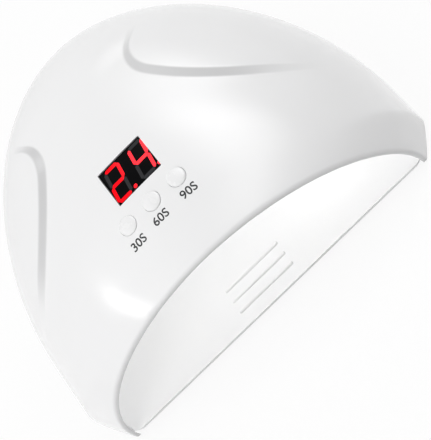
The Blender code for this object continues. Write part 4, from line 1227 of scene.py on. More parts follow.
@dataclass
class Display:
    """Two-digit display behind the window."""

    panel: PanelFrame
    size: tuple[float, float] = (22.1 * MM, 16.8 * MM)
    sink: float = 0.7 * MM
    deep: float = 9.0 * MM
    edge: float = 0.2 * MM
    edge_rounds: int = 2
    digit_height: float = 15.6 * MM
    digit_width: float = 8.1 * MM
    bar: float = 1.5 * MM
    bar_gap: float = 0.14 * MM
    bar_proud: float = 0.04 * MM
    bar_tip: tuple[float, float] = (0.47, 0.08)
    slant: float = math.radians(8.2)
    low: float = -0.3 * MM
    digits: tuple[tuple[Digit, float], ...] = ((Digit.TWO, -5.8 * MM), (Digit.FOUR, 7.25 * MM))
    point_radius: float = 0.85 * MM
    point_rim: tuple[float, float] = (0.9, 1.5)
    point_sides: int = 32
    point_x: float = 5.5 * MM
    point_v: float = -7.0 * MM

    def face(self) -> float:
        """Height of the display's face over the panel's plane."""
        return -self.sink

    def build_body(self) -> bpy.types.Object:
        """Black body with rounded edges.

        Returns:
            The body in the row frame.
        """
        middle = (*self.panel.window_middle, self.face() - self.deep / 2)
        body = Bench.block((*self.size, self.deep), middle)
        Bench.bevel(body, self.edge, self.edge_rounds)
        Bench.settle(body, self.panel.place())
        return body

    def bar_mesh(self, upright: bool) -> bpy.types.Object:
        """One bar with pointed ends, lying along x or standing along y, with its foot on z = 0.

        Args:
            upright: Whether the bar stands.

        Returns:
            The bar, about the origin.
        """
        half_height = (self.digit_height - self.bar) / 2
        length = half_height if upright else self.digit_width - self.bar
        straight = length - self.bar - self.bar_gap
        bar = Bench.block((straight, self.bar, 2 * self.bar_proud), (0.0, 0.0, self.bar_proud))
        Bench.edit(bar)
        tip_length, tip_width = self.bar * self.bar_tip[0], self.bar_tip[1]
        for side in (-1.0, 1.0):
            Bench.pick_faces(bar, lambda middle, normal, side=side: normal.x * side > FACING)
            reach = {"value": (side * tip_length, 0.0, 0.0)}
            bpy.ops.mesh.extrude_region_move(TRANSFORM_OT_translate=reach)
            tip = (side * (straight / 2 + tip_length), 0.0, self.bar_proud)
            bpy.ops.transform.resize(value=(1.0, tip_width, 1.0), center_override=tip)
        bpy.ops.object.mode_set(mode="OBJECT")
        if upright:
            Bench.settle(bar, Matrix.Rotation(QUARTER, 4, "Z"))
        return bar

    def build_bars(self) -> tuple[bpy.types.Object, bpy.types.Object]:
        """Model the bars and points.

        Returns:
            Lit bars with the points as one piece, and unlit bars as another.
        """
        flat, tall = self.bar_mesh(False), self.bar_mesh(True)
        radius, (shrunk, rim) = self.point_radius, self.point_rim
        point = Bench.turned([(radius, 0.0), (radius, self.bar_proud * rim),
                              (radius * shrunk, self.bar_proud * 2)], self.point_sides)
        lit, dark = [], []
        across, up = (self.digit_width - self.bar) / 2, (self.digit_height - self.bar) / 2
        for digit, middle in self.digits:
            for segment in Segment:
                x_share, v_share, upright = segment.value
                spot = Vector((middle + across * x_share, self.low + up * v_share, 0.0))
                piece = Bench.copied(tall if upright else flat, Matrix.Translation(spot))
                (lit if segment in digit.value else dark).append(piece)
            spot = Vector((middle + self.point_x, self.point_v, 0.0))
            lit.append(Bench.copied(point, Matrix.Translation(spot)))
        for pattern in (flat, tall, point):
            bpy.data.objects.remove(pattern, do_unlink=True)
        return self._slanted(Bench.joined(lit)), self._slanted(Bench.joined(dark))

    def _slanted(self, bars: bpy.types.Object) -> bpy.types.Object:
        """Slant upright bars to the right and set them on the display's face.

        Args:
            bars: Bars in the panel's frame.

        Returns:
            The same bars in the row frame.
        """
        for vertex in bars.data.vertices:
            vertex.co.x += (vertex.co.y - self.low) * math.tan(self.slant)
        sunk = Matrix.Translation((0.0, 0.0, self.face() - self.bar_proud))
        Bench.settle(bars, self.panel.place() @ sunk)
        return bars

    def dress(self, dresser: Dresser) -> None:
        """Build the display and give each part of it its finish.

        Args:
            dresser: Names pieces and gives them their finish and body.
        """
        dresser.dress(self.build_body(), "display_body", FACE_BLACK, nodes=["display_module"])
        lit, dark = self.build_bars()
        dresser.dress(lit, "display_lit_bars", SEGMENT_LIT)
        dresser.dress(dark, "display_dark_bars", SEGMENT_DARK)


@dataclass
class TimerButtons:
    """Three push buttons with low domed caps, each on its own body."""

    panel: PanelFrame
    radius: float = 3.93 * MM
    proud: float = 0.9 * MM
    edge: float = 0.25 * MM
    cap_rings: int = 9
    sides: int = 72
    flange_radius: float = 4.85 * MM
    flange: tuple[float, float] = (-2.9 * MM, -3.9 * MM)
    stem_radius: float = 1.6 * MM
    plunger_top: float = -5.8 * MM
    clear: float = 0.3 * MM
    names: tuple[str, ...] = ("30", "60", "90")

    def profile(self, stem_foot: float) -> list[tuple[float, float]]:
        """Rings of one button from the middle of its cap down to its stem.

        Args:
            stem_foot: Height of the stem's lower end.

        Returns:
            Radius and height of each ring.
        """
        cap = []
        for ring in range(self.cap_rings + 1):
            turn = QUARTER * max(ring, POLE_RING) / self.cap_rings
            height = self.edge + (self.proud - self.edge) * math.cos(turn)
            cap.append((self.radius * math.sin(turn), height))
        top, foot = self.flange
        return cap + [(self.radius, top), (self.flange_radius, top), (self.flange_radius, foot),
                      (self.stem_radius, foot), (self.stem_radius, stem_foot)]

    def dress(self, dresser: Dresser) -> None:
        """Build the buttons and hang each on its body.

        Args:
            dresser: Names pieces and gives them their finish and body.
        """
        for name, x in zip(self.names, self.panel.button_x):
            drop = self.panel.drop(x, -self.panel.button_drop)
            cap = Bench.turned(self.profile(self.plunger_top + self.clear - drop), self.sides)
            for vertex in cap.data.vertices:
                if vertex.co.z > 0.0:
                    v = vertex.co.y - self.panel.button_drop
                    vertex.co.z += self.panel.drop(x + vertex.co.x, v) - drop
            spot = Matrix.Translation((x, -self.panel.button_drop, drop))
            Bench.settle(cap, self.panel.place() @ spot)
            dresser.dress(cap, "timer_cap_" + name, CAP_SATIN, body="button_" + name,
                          nodes=["timer_button_" + name])


@dataclass
class Legends:
    """Printed seconds under the buttons."""

    form: DomeForm
    em: float = 5.15 * MM
    stroke: float = 0.07 * MM
    curve_points: int = 6
    proud: float = 0.03 * MM
    ink: float = 0.02 * MM
    slope: float = math.radians(14.0)
    places: tuple[tuple[str, float, float], ...] = (
        ("30S", -13.95 * MM, 13.4 * MM), ("60S", -1.05 * MM, 14.0 * MM), ("90S", 13.55 * MM, 14.1 * MM))

    def build(self, words: str, x: float, y: float) -> bpy.types.Object:
        """Write one legend and lay it on the dome.

        Args:
            words: Characters of the legend.
            x: Place of its middle across.
            y: Place of its middle along the lamp.

        Returns:
            The legend as a thin mesh in the row frame.
        """
        Bench.clear()
        bpy.ops.object.text_add()
        text = bpy.context.object
        text.data.body = words
        text.data.size = self.em
        text.data.offset = self.stroke
        text.data.resolution_u = self.curve_points
        text.data.align_x = "CENTER"
        text.data.align_y = "CENTER"
        bpy.ops.object.convert(target="MESH")
        legend = bpy.context.object
        Bench.edit(legend)
        bpy.ops.mesh.remove_doubles(threshold=HAIR)
        bpy.ops.mesh.dissolve_degenerate(threshold=HAIR)
        bpy.ops.mesh.extrude_region_move(TRANSFORM_OT_translate={"value": (0.0, 0.0, self.ink)})
        bpy.ops.mesh.select_all(action="SELECT")
        bpy.ops.mesh.normals_make_consistent(inside=False)
        bpy.ops.object.mode_set(mode="OBJECT")
        level = math.cos(self.slope)
        for vertex in legend.data.vertices:
            spot = self.form.surface(x + vertex.co.x, y + vertex.co.y * level)
            vertex.co = spot + Vector((0.0, 0.0, vertex.co.z - self.ink + self.proud))
        Bench.settle(legend, LAMP_PLACE)
        return legend

    def dress(self, dresser: Dresser) -> None:
        """Write the legends in grey ink."""
        for words, x, y in self.places:
            dresser.dress(self.build(words, x, y), "legend_" + words, PRINT_GREY)


@dataclass
class LightLiner:
    """White vault over the hand, with a flared mouth, a foot flange, screw bosses and lamp holes."""

    form: DomeForm
    half: float = 77.0 * MM
    top: float = 55.98 * MM
    barrel: float = 76.0 * MM
    end: float = 132.0 * MM
    plan_power: float = 2.2
    section_power: float = 2.3
    wall: float = 1.6 * MM
    front_y: float = 3.0 * MM
    flange: float = 2.0 * MM
    floor: float = 2.8 * MM
    clear: float = 0.3 * MM
    columns: int = 96
    rear_rows: int = 26
    barrel_rows: int = 40
    foot_columns: int = 120
    foot_rows: int = 3
    sides: int = 40
    spread: float = 8.8 * MM
    spread_y: tuple[float, float] = (22.0 * MM, 40.0 * MM)
    spread_z: tuple[float, float] = (9.0 * MM, 25.0 * MM)
    lip_end: float = 13.0 * MM
    foot_turn: float = 0.999
    sunk: float = 0.05 * MM
    boss: tuple[float, float] = (3.8 * MM, 7.8 * MM)
    seat: tuple[float, float] = (2.7 * MM, 5.0 * MM)
    bore: float = 1.4 * MM
    peg_hole: tuple[float, float] = (2.3 * MM, 6.8 * MM)
    lamp_hole: float = 2.8 * MM
    lamp_reach: float = 4.8 * MM
    post_places: tuple[tuple[float, float], ...] = (
        (-84.1 * MM, 36.0 * MM), (84.1 * MM, 36.0 * MM),
        (-46.816 * MM, 126.0 * MM), (46.816 * MM, 126.0 * MM))
    peg_places: tuple[tuple[float, float], ...] = (
        (-82.885 * MM, 62.0 * MM), (82.885 * MM, 62.0 * MM),
        (-24.0 * MM, 141.0 * MM), (24.0 * MM, 141.0 * MM))
    lamp_stations: tuple[tuple[str, float], ...] = (
        ("front", 20.0 * MM), ("middle", 45.75 * MM), ("rear", 71.5 * MM))
    lamp_turns: tuple[float, ...] = tuple(math.radians(turn) for turn in (-60, -36, -12, 12, 36, 60))

    def wall_point(self, y: float, turn: float, inset: float) -> Vector:
        """Point of the liner at a station, moved in from its outer skin.

        Args:
            y: Station along the lamp.
            turn: Place along the arch: -1 at its left foot, 0 at its top, 1 at its right foot.
            inset: Depth under the outer skin.

        Returns:
            The point: a vault whose foot spreads towards the front, and whose mouth meets the dome.
        """
        share = rounded_end((y - self.barrel) / (self.end - inset - self.barrel), self.plan_power)
        height = (self.top - inset) * share
        foot = math.acos((self.floor / max(height, self.floor)) ** (self.section_power / 2))
        angle = turn * foot
        x, z = arch_point((self.half - inset) * share, height, self.section_power, angle)
        low = 1.0 - ease(z, *self.spread_z)
        x += math.copysign(self.spread * low * (1.0 - ease(y, *self.spread_y)), angle) if angle else 0.0
        lip = 1.0 - ease(y, self.front_y, self.lip_end)
        mouth = self.form.plain_point(y, angle, self.form.wall + self.clear + inset)
        point = Vector((x, y, z)).lerp(mouth, lip)
        point.z = self.floor if abs(turn) > self.foot_turn else max(point.z, self.floor)
        return point

    def skin(self, share: float, turn: float, inset: float) -> Vector:
        """Point of one skin of the liner, by its share of the way from the rear to the mouth.

        Args:
            share: Share of the way, 0 to 1.
            turn: Place along the arch, -1 to 1.
            inset: Depth under the outer skin.

        Returns:
            The point in the lamp's own frame.
        """
        row = share * (self.rear_rows + self.barrel_rows)
        if row < self.rear_rows:
            reach = self.end - inset - self.barrel
            y = self.barrel + reach * math.cos(QUARTER * row / self.rear_rows)
        else:
            way = (row - self.rear_rows) / self.barrel_rows
            y = self.barrel + (self.front_y - self.barrel) * way
        return self.wall_point(y, turn, inset)

    def lay_point(self, across: float, along: float) -> Vector:
        """Point of the liner for a point of the flat grid: inner skin to the mouth, then outer skin.

        Args:
            across: Place across the flat grid, -1 to 1.
            along: Place along the flat grid, -1 to 1.

        Returns:
            The point in the lamp's own frame.
        """
        skin_rows = self.rear_rows + self.barrel_rows
        row = (along + 1.0) / 2 * self.rows()
        if row <= skin_rows:
            return self.skin(row / skin_rows, across, self.wall)
        return self.skin(1.0 - (row - skin_rows - 1) / skin_rows, across, 0.0)

    def rows(self) -> int:
        """Rows of the grid, once round the liner's wall."""
        return 2 * (self.rear_rows + self.barrel_rows) + 1

    def foot_point(self, across: float, along: float) -> Vector:
        """Point of the foot flange's plate: across runs round the vault, along from the vault to the dome.

        Args:
            across: Place across the flat grid, -1 to 1.
            along: Place along the flat grid, -1 to 1.

        Returns:
            The point in the lamp's own frame.
        """
        turn = math.sin(QUARTER * (1.0 - abs(across)))
        start, inset = self.lip_end, self.form.wall + self.clear
        inner_y = start + (self.end - self.wall / 2 - start) * turn
        outer_y = start + (self.form.depth - inset - start) * turn
        level = self.floor + self.sunk
        inner = Vector((self.wall_point(inner_y, 1.0, self.wall / 2).x, inner_y, level))
        outer = Vector((self.form.half_width(outer_y, inset), outer_y, level))
        point = inner.lerp(outer, (along + 1.0) / 2)
        point.x = math.copysign(point.x, across)
        return point

    def lamp_place(self, station: float, angle: float) -> Matrix:
        """Matrix of a lamp in the vault's wall, with z outwards through the wall.

        Args:
            station: Station along the lamp.
            angle: Angle along the arch.

        Returns:
            Matrix from the lamp's mesh to the row frame.
        """
        x, z = arch_point(self.half, self.top, self.section_power, angle)
        slope = self.section_power - 1.0
        out = Vector((math.copysign(abs(x / self.half) ** slope, x) / self.half, 0.0,
                      (z / self.top) ** slope / self.top))
        tilt = Matrix.Rotation(math.atan2(out.x, out.z), 4, "Y")
        return LAMP_PLACE @ Matrix.Translation((x, station, z)) @ tilt

    def build(self) -> bpy.types.Object:
        """Model the liner.

        Returns:
            The liner in the row frame.
        """
        liner = Bench.grid(self.columns, self.rows())
        Bench.lay(liner, self.lay_point)
        Bench.close(liner)
        foot = Bench.grid(self.foot_columns, self.foot_rows)
        Bench.lay(foot, self.foot_point)
        Bench.edit(foot)
        bpy.ops.mesh.remove_doubles(threshold=MERGE)
        bpy.ops.mesh.extrude_region_move(TRANSFORM_OT_translate={"value": (0.0, 0.0, self.flange)})
        bpy.ops.object.mode_set(mode="OBJECT")
        Bench.close(foot)
        Bench.combine(liner, foot, "UNION")
        wide, high = self.boss
        bosses = self.rods(wide, self.floor + 2 * self.sunk, high, self.post_places)
        Bench.combine(liner, bosses, "UNION")
        Bench.settle(liner, LAMP_PLACE)
        Bench.combine(liner, self.bores(), "DIFFERENCE")
        return liner

    def rods(self, radius: float, low: float, high: float,
             places: Sequence[tuple[float, float]]) -> bpy.types.Object:
        """Upright rods at several places, as one tool in the lamp's own frame.

        Args:
            radius: Radius of each rod.
            low: Height of its foot.
            high: Height of its top.
            places: Place of each rod, x and y.

        Returns:
            The rods as one mesh.
        """
        rod = Bench.turned([(radius, low), (radius, high)], self.sides)
        copies = [Bench.copied(rod, Matrix.Translation((x, y, 0.0))) for x, y in places]
        bpy.data.objects.remove(rod, do_unlink=True)
        return Bench.joined(copies)

    def bores(self) -> bpy.types.Object:
        """Tool that cuts the lamp holes, screw bores, screw seats and peg holes.

        Returns:
            The tool in the row frame.
        """
        tools = []
        for radius, high, places in ((self.bore, 2 * self.boss[1], self.post_places),
                                     (*self.peg_hole, self.peg_places)):
            tools.append(self.rods(radius, 0.0, high, places))
            Bench.settle(tools[-1], LAMP_PLACE)
        seats = self.rods(self.seat[0], 0.0, self.seat[1], self.post_places)
        Bench.settle(seats, LAMP_PLACE)
        Bench.combine(tools[0], seats, "UNION")
        wide, reach = self.lamp_hole, self.lamp_reach
        hole = Bench.turned([(wide, -reach), (wide, reach)], self.sides)
        tools += [Bench.copied(hole, self.lamp_place(station, turn))
                  for _, station in self.lamp_stations for turn in self.lamp_turns]
        bpy.data.objects.remove(hole, do_unlink=True)
        return Bench.joined(tools)

    def dress(self, dresser: Dresser) -> None:
        """Build the liner and give it its finish."""
        dresser.dress(self.build(), "light_liner", LINER_SATIN, nodes=["inner_liner"])


@dataclass
class Lamps:
    """Light sources in the liner's holes, each a short barrel with a domed yellow lens."""

    liner: LightLiner
    radius: float = 2.5 * MM
    lens: float = 1.5 * MM
    back: float = 0.02 * MM
    rim: tuple[float, float] = (0.3 * MM, 0.1 * MM)
    rim_shares: tuple[float, float] = (0.96, 0.94)
    rings: int = 8
    sides: int = 36

    def build(self) -> bpy.types.Object:
        """One lamp, with its lens down and its back on z = 0.

        Returns:
            The lamp, about the z axis.
        """
        wall, radius = self.liner.wall, self.radius
        (start, end), (rim_share, lens_share) = self.rim, self.rim_shares
        profile = [(radius, -self.back), (radius, start - wall), (radius * rim_share, end - wall)]
        for ring in range(self.rings + 1):
            turn = QUARTER * min(ring, self.rings - POLE_RING) / self.rings
            profile.append((radius * lens_share * math.cos(turn), -wall - self.lens * math.sin(turn)))
        return Bench.turned(profile, self.sides)

    def dress(self, dresser: Dresser) -> None:
        """Build the lamps and set one in each hole.

        Args:
            dresser: Names pieces and gives them their finish and body.
        """
        lamp = self.build()
        for label, station in self.liner.lamp_stations:
            for number, turn in enumerate(self.liner.lamp_turns, 1):
                piece = Bench.copied(lamp, self.liner.lamp_place(station, turn))
                node = f"{label}_led_{number}"
                dresser.dress(piece, node + "_lens", LENS_YELLOW, nodes=[node])
        bpy.data.objects.remove(lamp, do_unlink=True)


@dataclass
class PowerInlet:
    """Round power socket in the rear wall, with its pin."""

    dome: DomeShell
    stand: float = 0.3 * MM
    flange: tuple[float, float] = (5.6 * MM, 1.6 * MM)
    barrel: tuple[float, float] = (4.0 * MM, -12.0 * MM)
    bore: tuple[float, float] = (3.1 * MM, -7.9 * MM)
    pin_hole: float = 1.3 * MM
    pin: tuple[float, float] = (1.0 * MM, -15.0 * MM)
    rounding: float = 0.35 * MM
    corner_share: float = 0.3
    nose_rings: int = 6
    sides: int = 56

    def socket_profile(self) -> list[tuple[float, float]]:
        """Rings of the hollow socket, from the mouth of its bore over the flange and back.

        Returns:
            Radius and height of each ring.
        """
        (wide, front), (barrel, rear), (bore, foot) = self.flange, self.barrel, self.bore
        cut, corner = self.rounding, self.rounding * self.corner_share
        mouth = (bore + cut, front)
        return [mouth, (wide - cut, front), (wide - corner, front - corner), (wide, front - cut), (wide, 0.0),
                (barrel, 0.0), (barrel, rear), (self.pin_hole, rear), (self.pin_hole, foot), (bore, foot),
                (bore, front - cut), mouth]

    def pin_profile(self) -> list[tuple[float, float]]:
        """Rings of the round-nosed pin.

        Returns:
            Radius and height of each ring.
        """
        radius, tail = self.pin
        nose = []
        for ring in range(self.nose_rings + 1):
            out, down = (QUARTER * step / self.nose_rings for step in (max(ring, POLE_RING), ring))
            nose.append((radius * math.sin(out), radius * (math.cos(down) - 1.0)))
        return nose + [(radius, tail)]

    def dress(self, dresser: Dresser) -> None:
        """Build the socket and its pin.

        Args:
            dresser: Names pieces and gives them their finish and body.
        """
        place = self.dome.jack_place() @ Matrix.Translation((0.0, 0.0, self.stand))
        parts = ((self.socket_profile(), "inlet_socket", JACK_NYLON, "power_socket"),
                 (self.pin_profile(), "inlet_pin", CONTACT_NICKEL, "socket_pin"))
        for profile, name, finish, node in parts:
            piece = Bench.turned(profile, self.sides)
            Bench.settle(piece, place)
            dresser.dress(piece, name, finish, nodes=[node])


@dataclass
class LinerScrews:
    """Cross-head screws that hold the liner, seen from below when the tray is off."""

    liner: LightLiner
    seat: float = 4.7 * MM
    shank: tuple[float, float] = (1.1 * MM, 9.0 * MM)
    head: tuple[float, float] = (2.4 * MM, -1.6 * MM)
    head_rim: float = 0.45
    head_rings: int = 6
    sides: int = 40
    tip: float = 1.1 * MM
    slot: tuple[float, float, float] = (2.7 * MM, 0.62 * MM, 0.9 * MM)
    names: tuple[str, ...] = ("front_left_screw", "front_right_screw", "rear_left_screw", "rear_right_screw")

    def build(self) -> bpy.types.Object:
        """One screw that points up, with the face under its head on z = 0.

        Returns:
            The screw, about the z axis.
        """
        (radius, length), (wide, low) = self.shank, self.head
        profile = [(radius / 2, length), (radius, length - self.tip), (radius, 0.0), (wide, 0.0)]
        for ring in range(self.head_rings):
            turn = QUARTER * ring / self.head_rings
            share = self.head_rim + (1.0 - self.head_rim) * math.sin(turn)
            profile.append((wide * math.cos(turn), low * share))
        screw = Bench.turned(profile, self.sides)
        long, thick, deep = self.slot
        middle = (0.0, 0.0, low)
        slot = Bench.block((long, thick, 2 * deep), middle)
        Bench.combine(slot, Bench.block((thick, long, 2 * deep), middle), "UNION")
        Bench.combine(screw, slot, "DIFFERENCE")
        return screw

    def dress(self, dresser: Dresser) -> None:
        """Build the screws and set one under each post.

        Args:
            dresser: Names pieces and gives them their finish and body.
        """
        screw = self.build()
        for node, (x, y) in zip(self.names, self.liner.post_places):
            piece = Bench.copied(screw, LAMP_PLACE @ Matrix.Translation((x, y, self.seat)))
            dresser.dress(piece, node + "_head", SCREW_ZINC, nodes=[node])
        bpy.data.objects.remove(screw, do_unlink=True)


@dataclass
class InnerParts:
    """CAD nodes and their finishes; those that no piece replaces keep their shape inside the dome."""

    finishes: tuple[Finish, ...] = (
        BOARD_MASK, STRIP_MASK, LENS_YELLOW, CHIP_EPOXY, SWITCH_NYLON, CAN_SLEEVE, PLUG_NYLON, JACK_NYLON,
        CONTACT_NICKEL, SCREW_ZINC, LEAD_VINYL, LINK_VINYL, LINER_SATIN, SHELL_GLOSS, TRAY_SATIN, CAP_SATIN,
        FOOT_RUBBER, FACE_BLACK)

    def dress(self, nodes: dict[str, bpy.types.Object]) -> None:
        """Give each CAD node the finish of the record's slot that it has.

        Args:
            nodes: CAD nodes by name.
        """
        by_slot = {finish.slot: finish for finish in self.finishes}
        for name, node in sorted(nodes.items()):
            for place in node.material_slots:
                slot = place.material.name.split(".")[0]
                place.material = by_slot[slot].material()
            LOG.info("%s: CAD node with %s", name, node.material_slots[0].material.name)


class Role(Enum):
    """What a studio light does: light the surfaces, show as a soft or crisp highlight on gloss."""

    LIGHT = "light"
    GLOW = "glow"
    PANE = "pane"


@dataclass(frozen=True)
class Softbox:
    """One soft light, by the direction in which it hangs from the place that it looks at.

    An azimuth of 0 is in front of the lamp and 90 on its right. Where only names a piece, the light reaches
    that piece alone, like a lamp that is shielded from the rest.
    """

    name: str
    azimuth: float
    elevation: float
    radiance: float
    size: tuple[float, float] = (0.7, 0.7)
    distance: float = 1.3
    aim: tuple[float, float, float] = (0.0, 0.0, 0.04)
    role: Role = Role.LIGHT
    only: str = ""

    def place(self) -> Matrix:
        """Matrix of the light, which looks down its own -Z.

        Returns:
            Matrix from the light's frame to the row frame.
        """
        turn, height = math.radians(self.azimuth), math.radians(self.elevation)
        level = math.cos(height)
        away = Vector((level * math.sin(turn), -level * math.cos(turn), math.sin(height)))
        facing = away.to_track_quat("Z", "Y").to_matrix().to_4x4()
        return Matrix.Translation(Vector(self.aim) + away * self.distance) @ facing

    def build(self) -> None:
        """Hang the light."""
        bpy.ops.object.light_add(type="AREA")
        light = bpy.context.object
        light.name = self.name
        light.data.shape = "RECTANGLE"
        light.data.size, light.data.size_y = self.size
        light.data.energy = self.radiance * math.pi * self.size[0] * self.size[1]
        light.matrix_world = self.place()
        light.visible_camera = False
        light.visible_glossy = self.role is not Role.LIGHT
        light.visible_diffuse = self.role is Role.LIGHT
        if self.role is Role.GLOW:
            self._fade(light.data)
        if self.only:
            reach = bpy.data.collections.new(self.name + "_reach")
            reach.objects.link(bpy.data.objects[self.only])
            light.light_linking.receiver_collection = reach
            light.light_linking.blocker_collection = reach

    @staticmethod
    def _fade(light: bpy.types.AreaLight) -> None:
        """Let the light's face fade from its middle to its edges.

        Args:
            light: Light that shows only as a reflection.
        """
        light.use_nodes = True
        tree = light.node_tree
        spot = tree.nodes.new("ShaderNodeNewGeometry").outputs["Parametric"]
        middle = tree.nodes.new("ShaderNodeVectorMath")
        middle.operation = "SUBTRACT"
        middle.inputs[1].default_value = (0.5, 0.5, 0.0)
        flat = tree.nodes.new("ShaderNodeVectorMath")
        flat.operation = "MULTIPLY"
        flat.inputs[1].default_value = (1.0, 1.0, 0.0)
        away = tree.nodes.new("ShaderNodeVectorMath")
        away.operation = "LENGTH"
        fall = tree.nodes.new("ShaderNodeMapRange")
        fall.interpolation_type = "SMOOTHSTEP"
        for name, value in (("From Min", 0.0), ("From Max", 0.5), ("To Min", 1.0), ("To Max", 0.0)):
            fall.inputs[name].default_value = value
        tree.links.new(spot, middle.inputs[0])
        tree.links.new(middle.outputs["Vector"], flat.inputs[0])
        tree.links.new(flat.outputs["Vector"], away.inputs[0])
        tree.links.new(away.outputs["Value"], fall.inputs["Value"])
        tree.links.new(fall.outputs["Result"], tree.nodes["Emission"].inputs["Strength"])


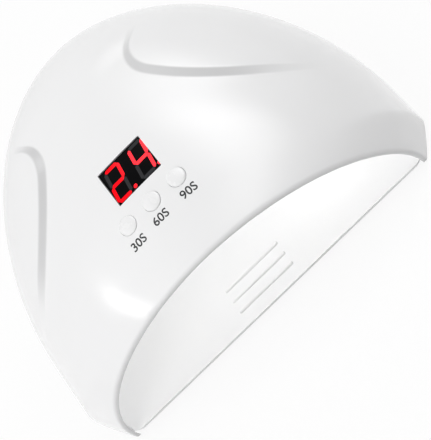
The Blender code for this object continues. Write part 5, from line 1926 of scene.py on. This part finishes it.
@dataclass
class Studio:
    """Pale floor, soft lights and the camera of the photo's angle."""

    camera_place: tuple[float, float, float] = (0.08924, -0.36134, 0.39310)
    azimuth: float = 0.256575
    elevation: float = 0.833544
    roll: float = 0.971941
    lens: float = 98.247
    sensor: float = 36.0
    clip_start: float = 0.01
    floor_side: float = 8.0
    floor_cuts: int = 8
    floor_paper: Colour = (0.9, 0.9, 0.9)
    world_light: float = 0.30
    floor_white: float = 0.90
    lights: tuple[Softbox, ...] = (
        Softbox("top_softbox", 0.0, 90.0, 0.35),
        Softbox("right_softbox", 100.0, 58.0, 3.0),
        Softbox("rear_right_softbox", 128.0, 22.0, 2.5),
        Softbox("left_softbox", 270.0, 58.0, 3.7),
        Softbox("front_left_softbox", 315.0, 22.0, 3.2),
        Softbox("tray_light", 140.0, 62.0, 11.9, (0.5, 0.5), 1.5, (0.0, -0.05, 0.0), only="tray_plate"),
        Softbox("tray_side", 245.0, 40.0, 3.8, (0.5, 0.5), 1.0, (-0.05, -0.05, 0.0), only="tray_plate"),
        Softbox("tray_spot", 0.0, 90.0, 1.5, (0.02, 0.02), 0.03, (0.050, -0.040, 0.004), only="tray_plate"),
        Softbox("hollow_fill", 0.0, 90.0, 0.12, (0.09, 0.09), 0.036, (0.0, -0.030, 0.004)),
        Softbox("overhead_glow", 135.0, 56.6, 4.4, (1.05, 0.9), 0.9, (0.0379, -0.0423, 0.0714), Role.GLOW),
        Softbox("window_pane", 256.0, 44.0, 8.0, (0.10, 0.11), 0.9, (-0.0327, -0.0745, 0.0637), Role.PANE))

    def camera(self) -> None:
        """Set the camera where the photo was taken from."""
        cos_el = math.cos(self.elevation)
        ahead = Vector((-math.sin(self.azimuth) * cos_el, math.cos(self.azimuth) * cos_el,
                        -math.sin(self.elevation)))
        level = Vector((math.cos(self.azimuth), math.sin(self.azimuth), 0.0))
        upright = level.cross(ahead)
        right = level * math.cos(self.roll) - upright * math.sin(self.roll)
        up = level * math.sin(self.roll) + upright * math.cos(self.roll)
        turn = Matrix((right, up, -ahead)).transposed().to_4x4()
        bpy.ops.object.camera_add()
        camera = bpy.context.object
        camera.name = "photo_camera"
        camera.matrix_world = Matrix.Translation(self.camera_place) @ turn
        camera.data.lens = self.lens
        camera.data.sensor_width = self.sensor
        camera.data.clip_start = self.clip_start
        bpy.context.scene.camera = camera

    def world(self) -> None:
        """White surroundings that light the lamp at a plain level."""
        scene = bpy.context.scene
        scene.world = scene.world or bpy.data.worlds.new("studio")
        scene.world.use_nodes = True
        tree = scene.world.node_tree
        tree.nodes.clear()
        output = tree.nodes.new("ShaderNodeOutputWorld")
        light = tree.nodes.new("ShaderNodeBackground")
        light.inputs["Color"].default_value = (1.0, 1.0, 1.0, 1.0)
        light.inputs["Strength"].default_value = self.world_light
        seen = tree.nodes.new("ShaderNodeBackground")
        seen.inputs["Color"].default_value = (1.0, 1.0, 1.0, 1.0)
        seen.inputs["Strength"].default_value = 1.0
        mix = tree.nodes.new("ShaderNodeMixShader")
        tree.links.new(self.seen_share(tree), mix.inputs["Fac"])
        tree.links.new(light.outputs["Background"], mix.inputs[1])
        tree.links.new(seen.outputs["Background"], mix.inputs[2])
        tree.links.new(mix.outputs["Shader"], output.inputs["Surface"])

    @staticmethod
    def seen_share(tree: bpy.types.NodeTree) -> bpy.types.NodeSocket:
        """Socket that is 1 on rays that show the background: seen, mirrored or refracted.

        Args:
            tree: Node tree that gets the nodes.

        Returns:
            Socket with 0 or 1.
        """
        path = tree.nodes.new("ShaderNodeLightPath")
        first = tree.nodes.new("ShaderNodeMath")
        first.operation = "MAXIMUM"
        second = tree.nodes.new("ShaderNodeMath")
        second.operation = "MAXIMUM"
        tree.links.new(path.outputs["Is Camera Ray"], first.inputs[0])
        tree.links.new(path.outputs["Is Glossy Ray"], first.inputs[1])
        tree.links.new(first.outputs["Value"], second.inputs[0])
        tree.links.new(path.outputs["Is Transmission Ray"], second.inputs[1])
        return second.outputs["Value"]

    def floor(self) -> None:
        """Pale floor that keeps a soft shadow."""
        Bench.clear()
        bpy.ops.mesh.primitive_grid_add(x_subdivisions=self.floor_cuts, y_subdivisions=self.floor_cuts,
                                        size=self.floor_side)
        ground = bpy.context.object
        ground.name = "studio_floor"
        paper = bpy.data.materials.new("floor_paper")
        paper.use_nodes = True
        tree = paper.node_tree
        tree.nodes.clear()
        output = tree.nodes.new("ShaderNodeOutputMaterial")
        card = tree.nodes.new("ShaderNodeBsdfDiffuse")
        card.inputs["Color"].default_value = (*self.floor_paper, 1.0)
        white = tree.nodes.new("ShaderNodeEmission")
        white.inputs["Color"].default_value = (1.0, 1.0, 1.0, 1.0)
        white.inputs["Strength"].default_value = 1.0
        share = tree.nodes.new("ShaderNodeMath")
        share.operation = "MULTIPLY"
        share.inputs[1].default_value = self.floor_white
        tree.links.new(self.seen_share(tree), share.inputs[0])
        mix = tree.nodes.new("ShaderNodeMixShader")
        tree.links.new(share.outputs["Value"], mix.inputs["Fac"])
        tree.links.new(card.outputs["BSDF"], mix.inputs[1])
        tree.links.new(white.outputs["Emission"], mix.inputs[2])
        tree.links.new(mix.outputs["Shader"], output.inputs["Surface"])
        ground.data.materials.append(paper)

    def build(self) -> None:
        """Set up the camera, the surroundings, the floor and the lights."""
        bpy.context.scene.view_settings.view_transform = "Standard"
        self.camera()
        self.world()
        self.floor()
        for light in self.lights:
            light.build()


def main() -> None:
    """Build and dress the lamp, then light it."""
    logging.basicConfig(level=logging.INFO, format="%(name)s: %(message)s")
    form = DomeForm()
    panel = PanelFrame(form)
    dresser = Dresser()
    InnerParts().dress(frame["nodes"])
    dome = DomeShell(form, panel)
    dome.dress(dresser, dome.build())
    tray = BaseTray(form)
    tray.dress(dresser, tray.build())
    feet = Feet()
    feet.dress(dresser, feet.build())
    Display(panel).dress(dresser)
    TimerButtons(panel).dress(dresser)
    Legends(form).dress(dresser)
    liner = LightLiner(form)
    liner.dress(dresser)
    Lamps(liner).dress(dresser)
    LinerScrews(liner).dress(dresser)
    PowerInlet(dome).dress(dresser)
    Studio().build()


if __name__ == "__main__":
    main()
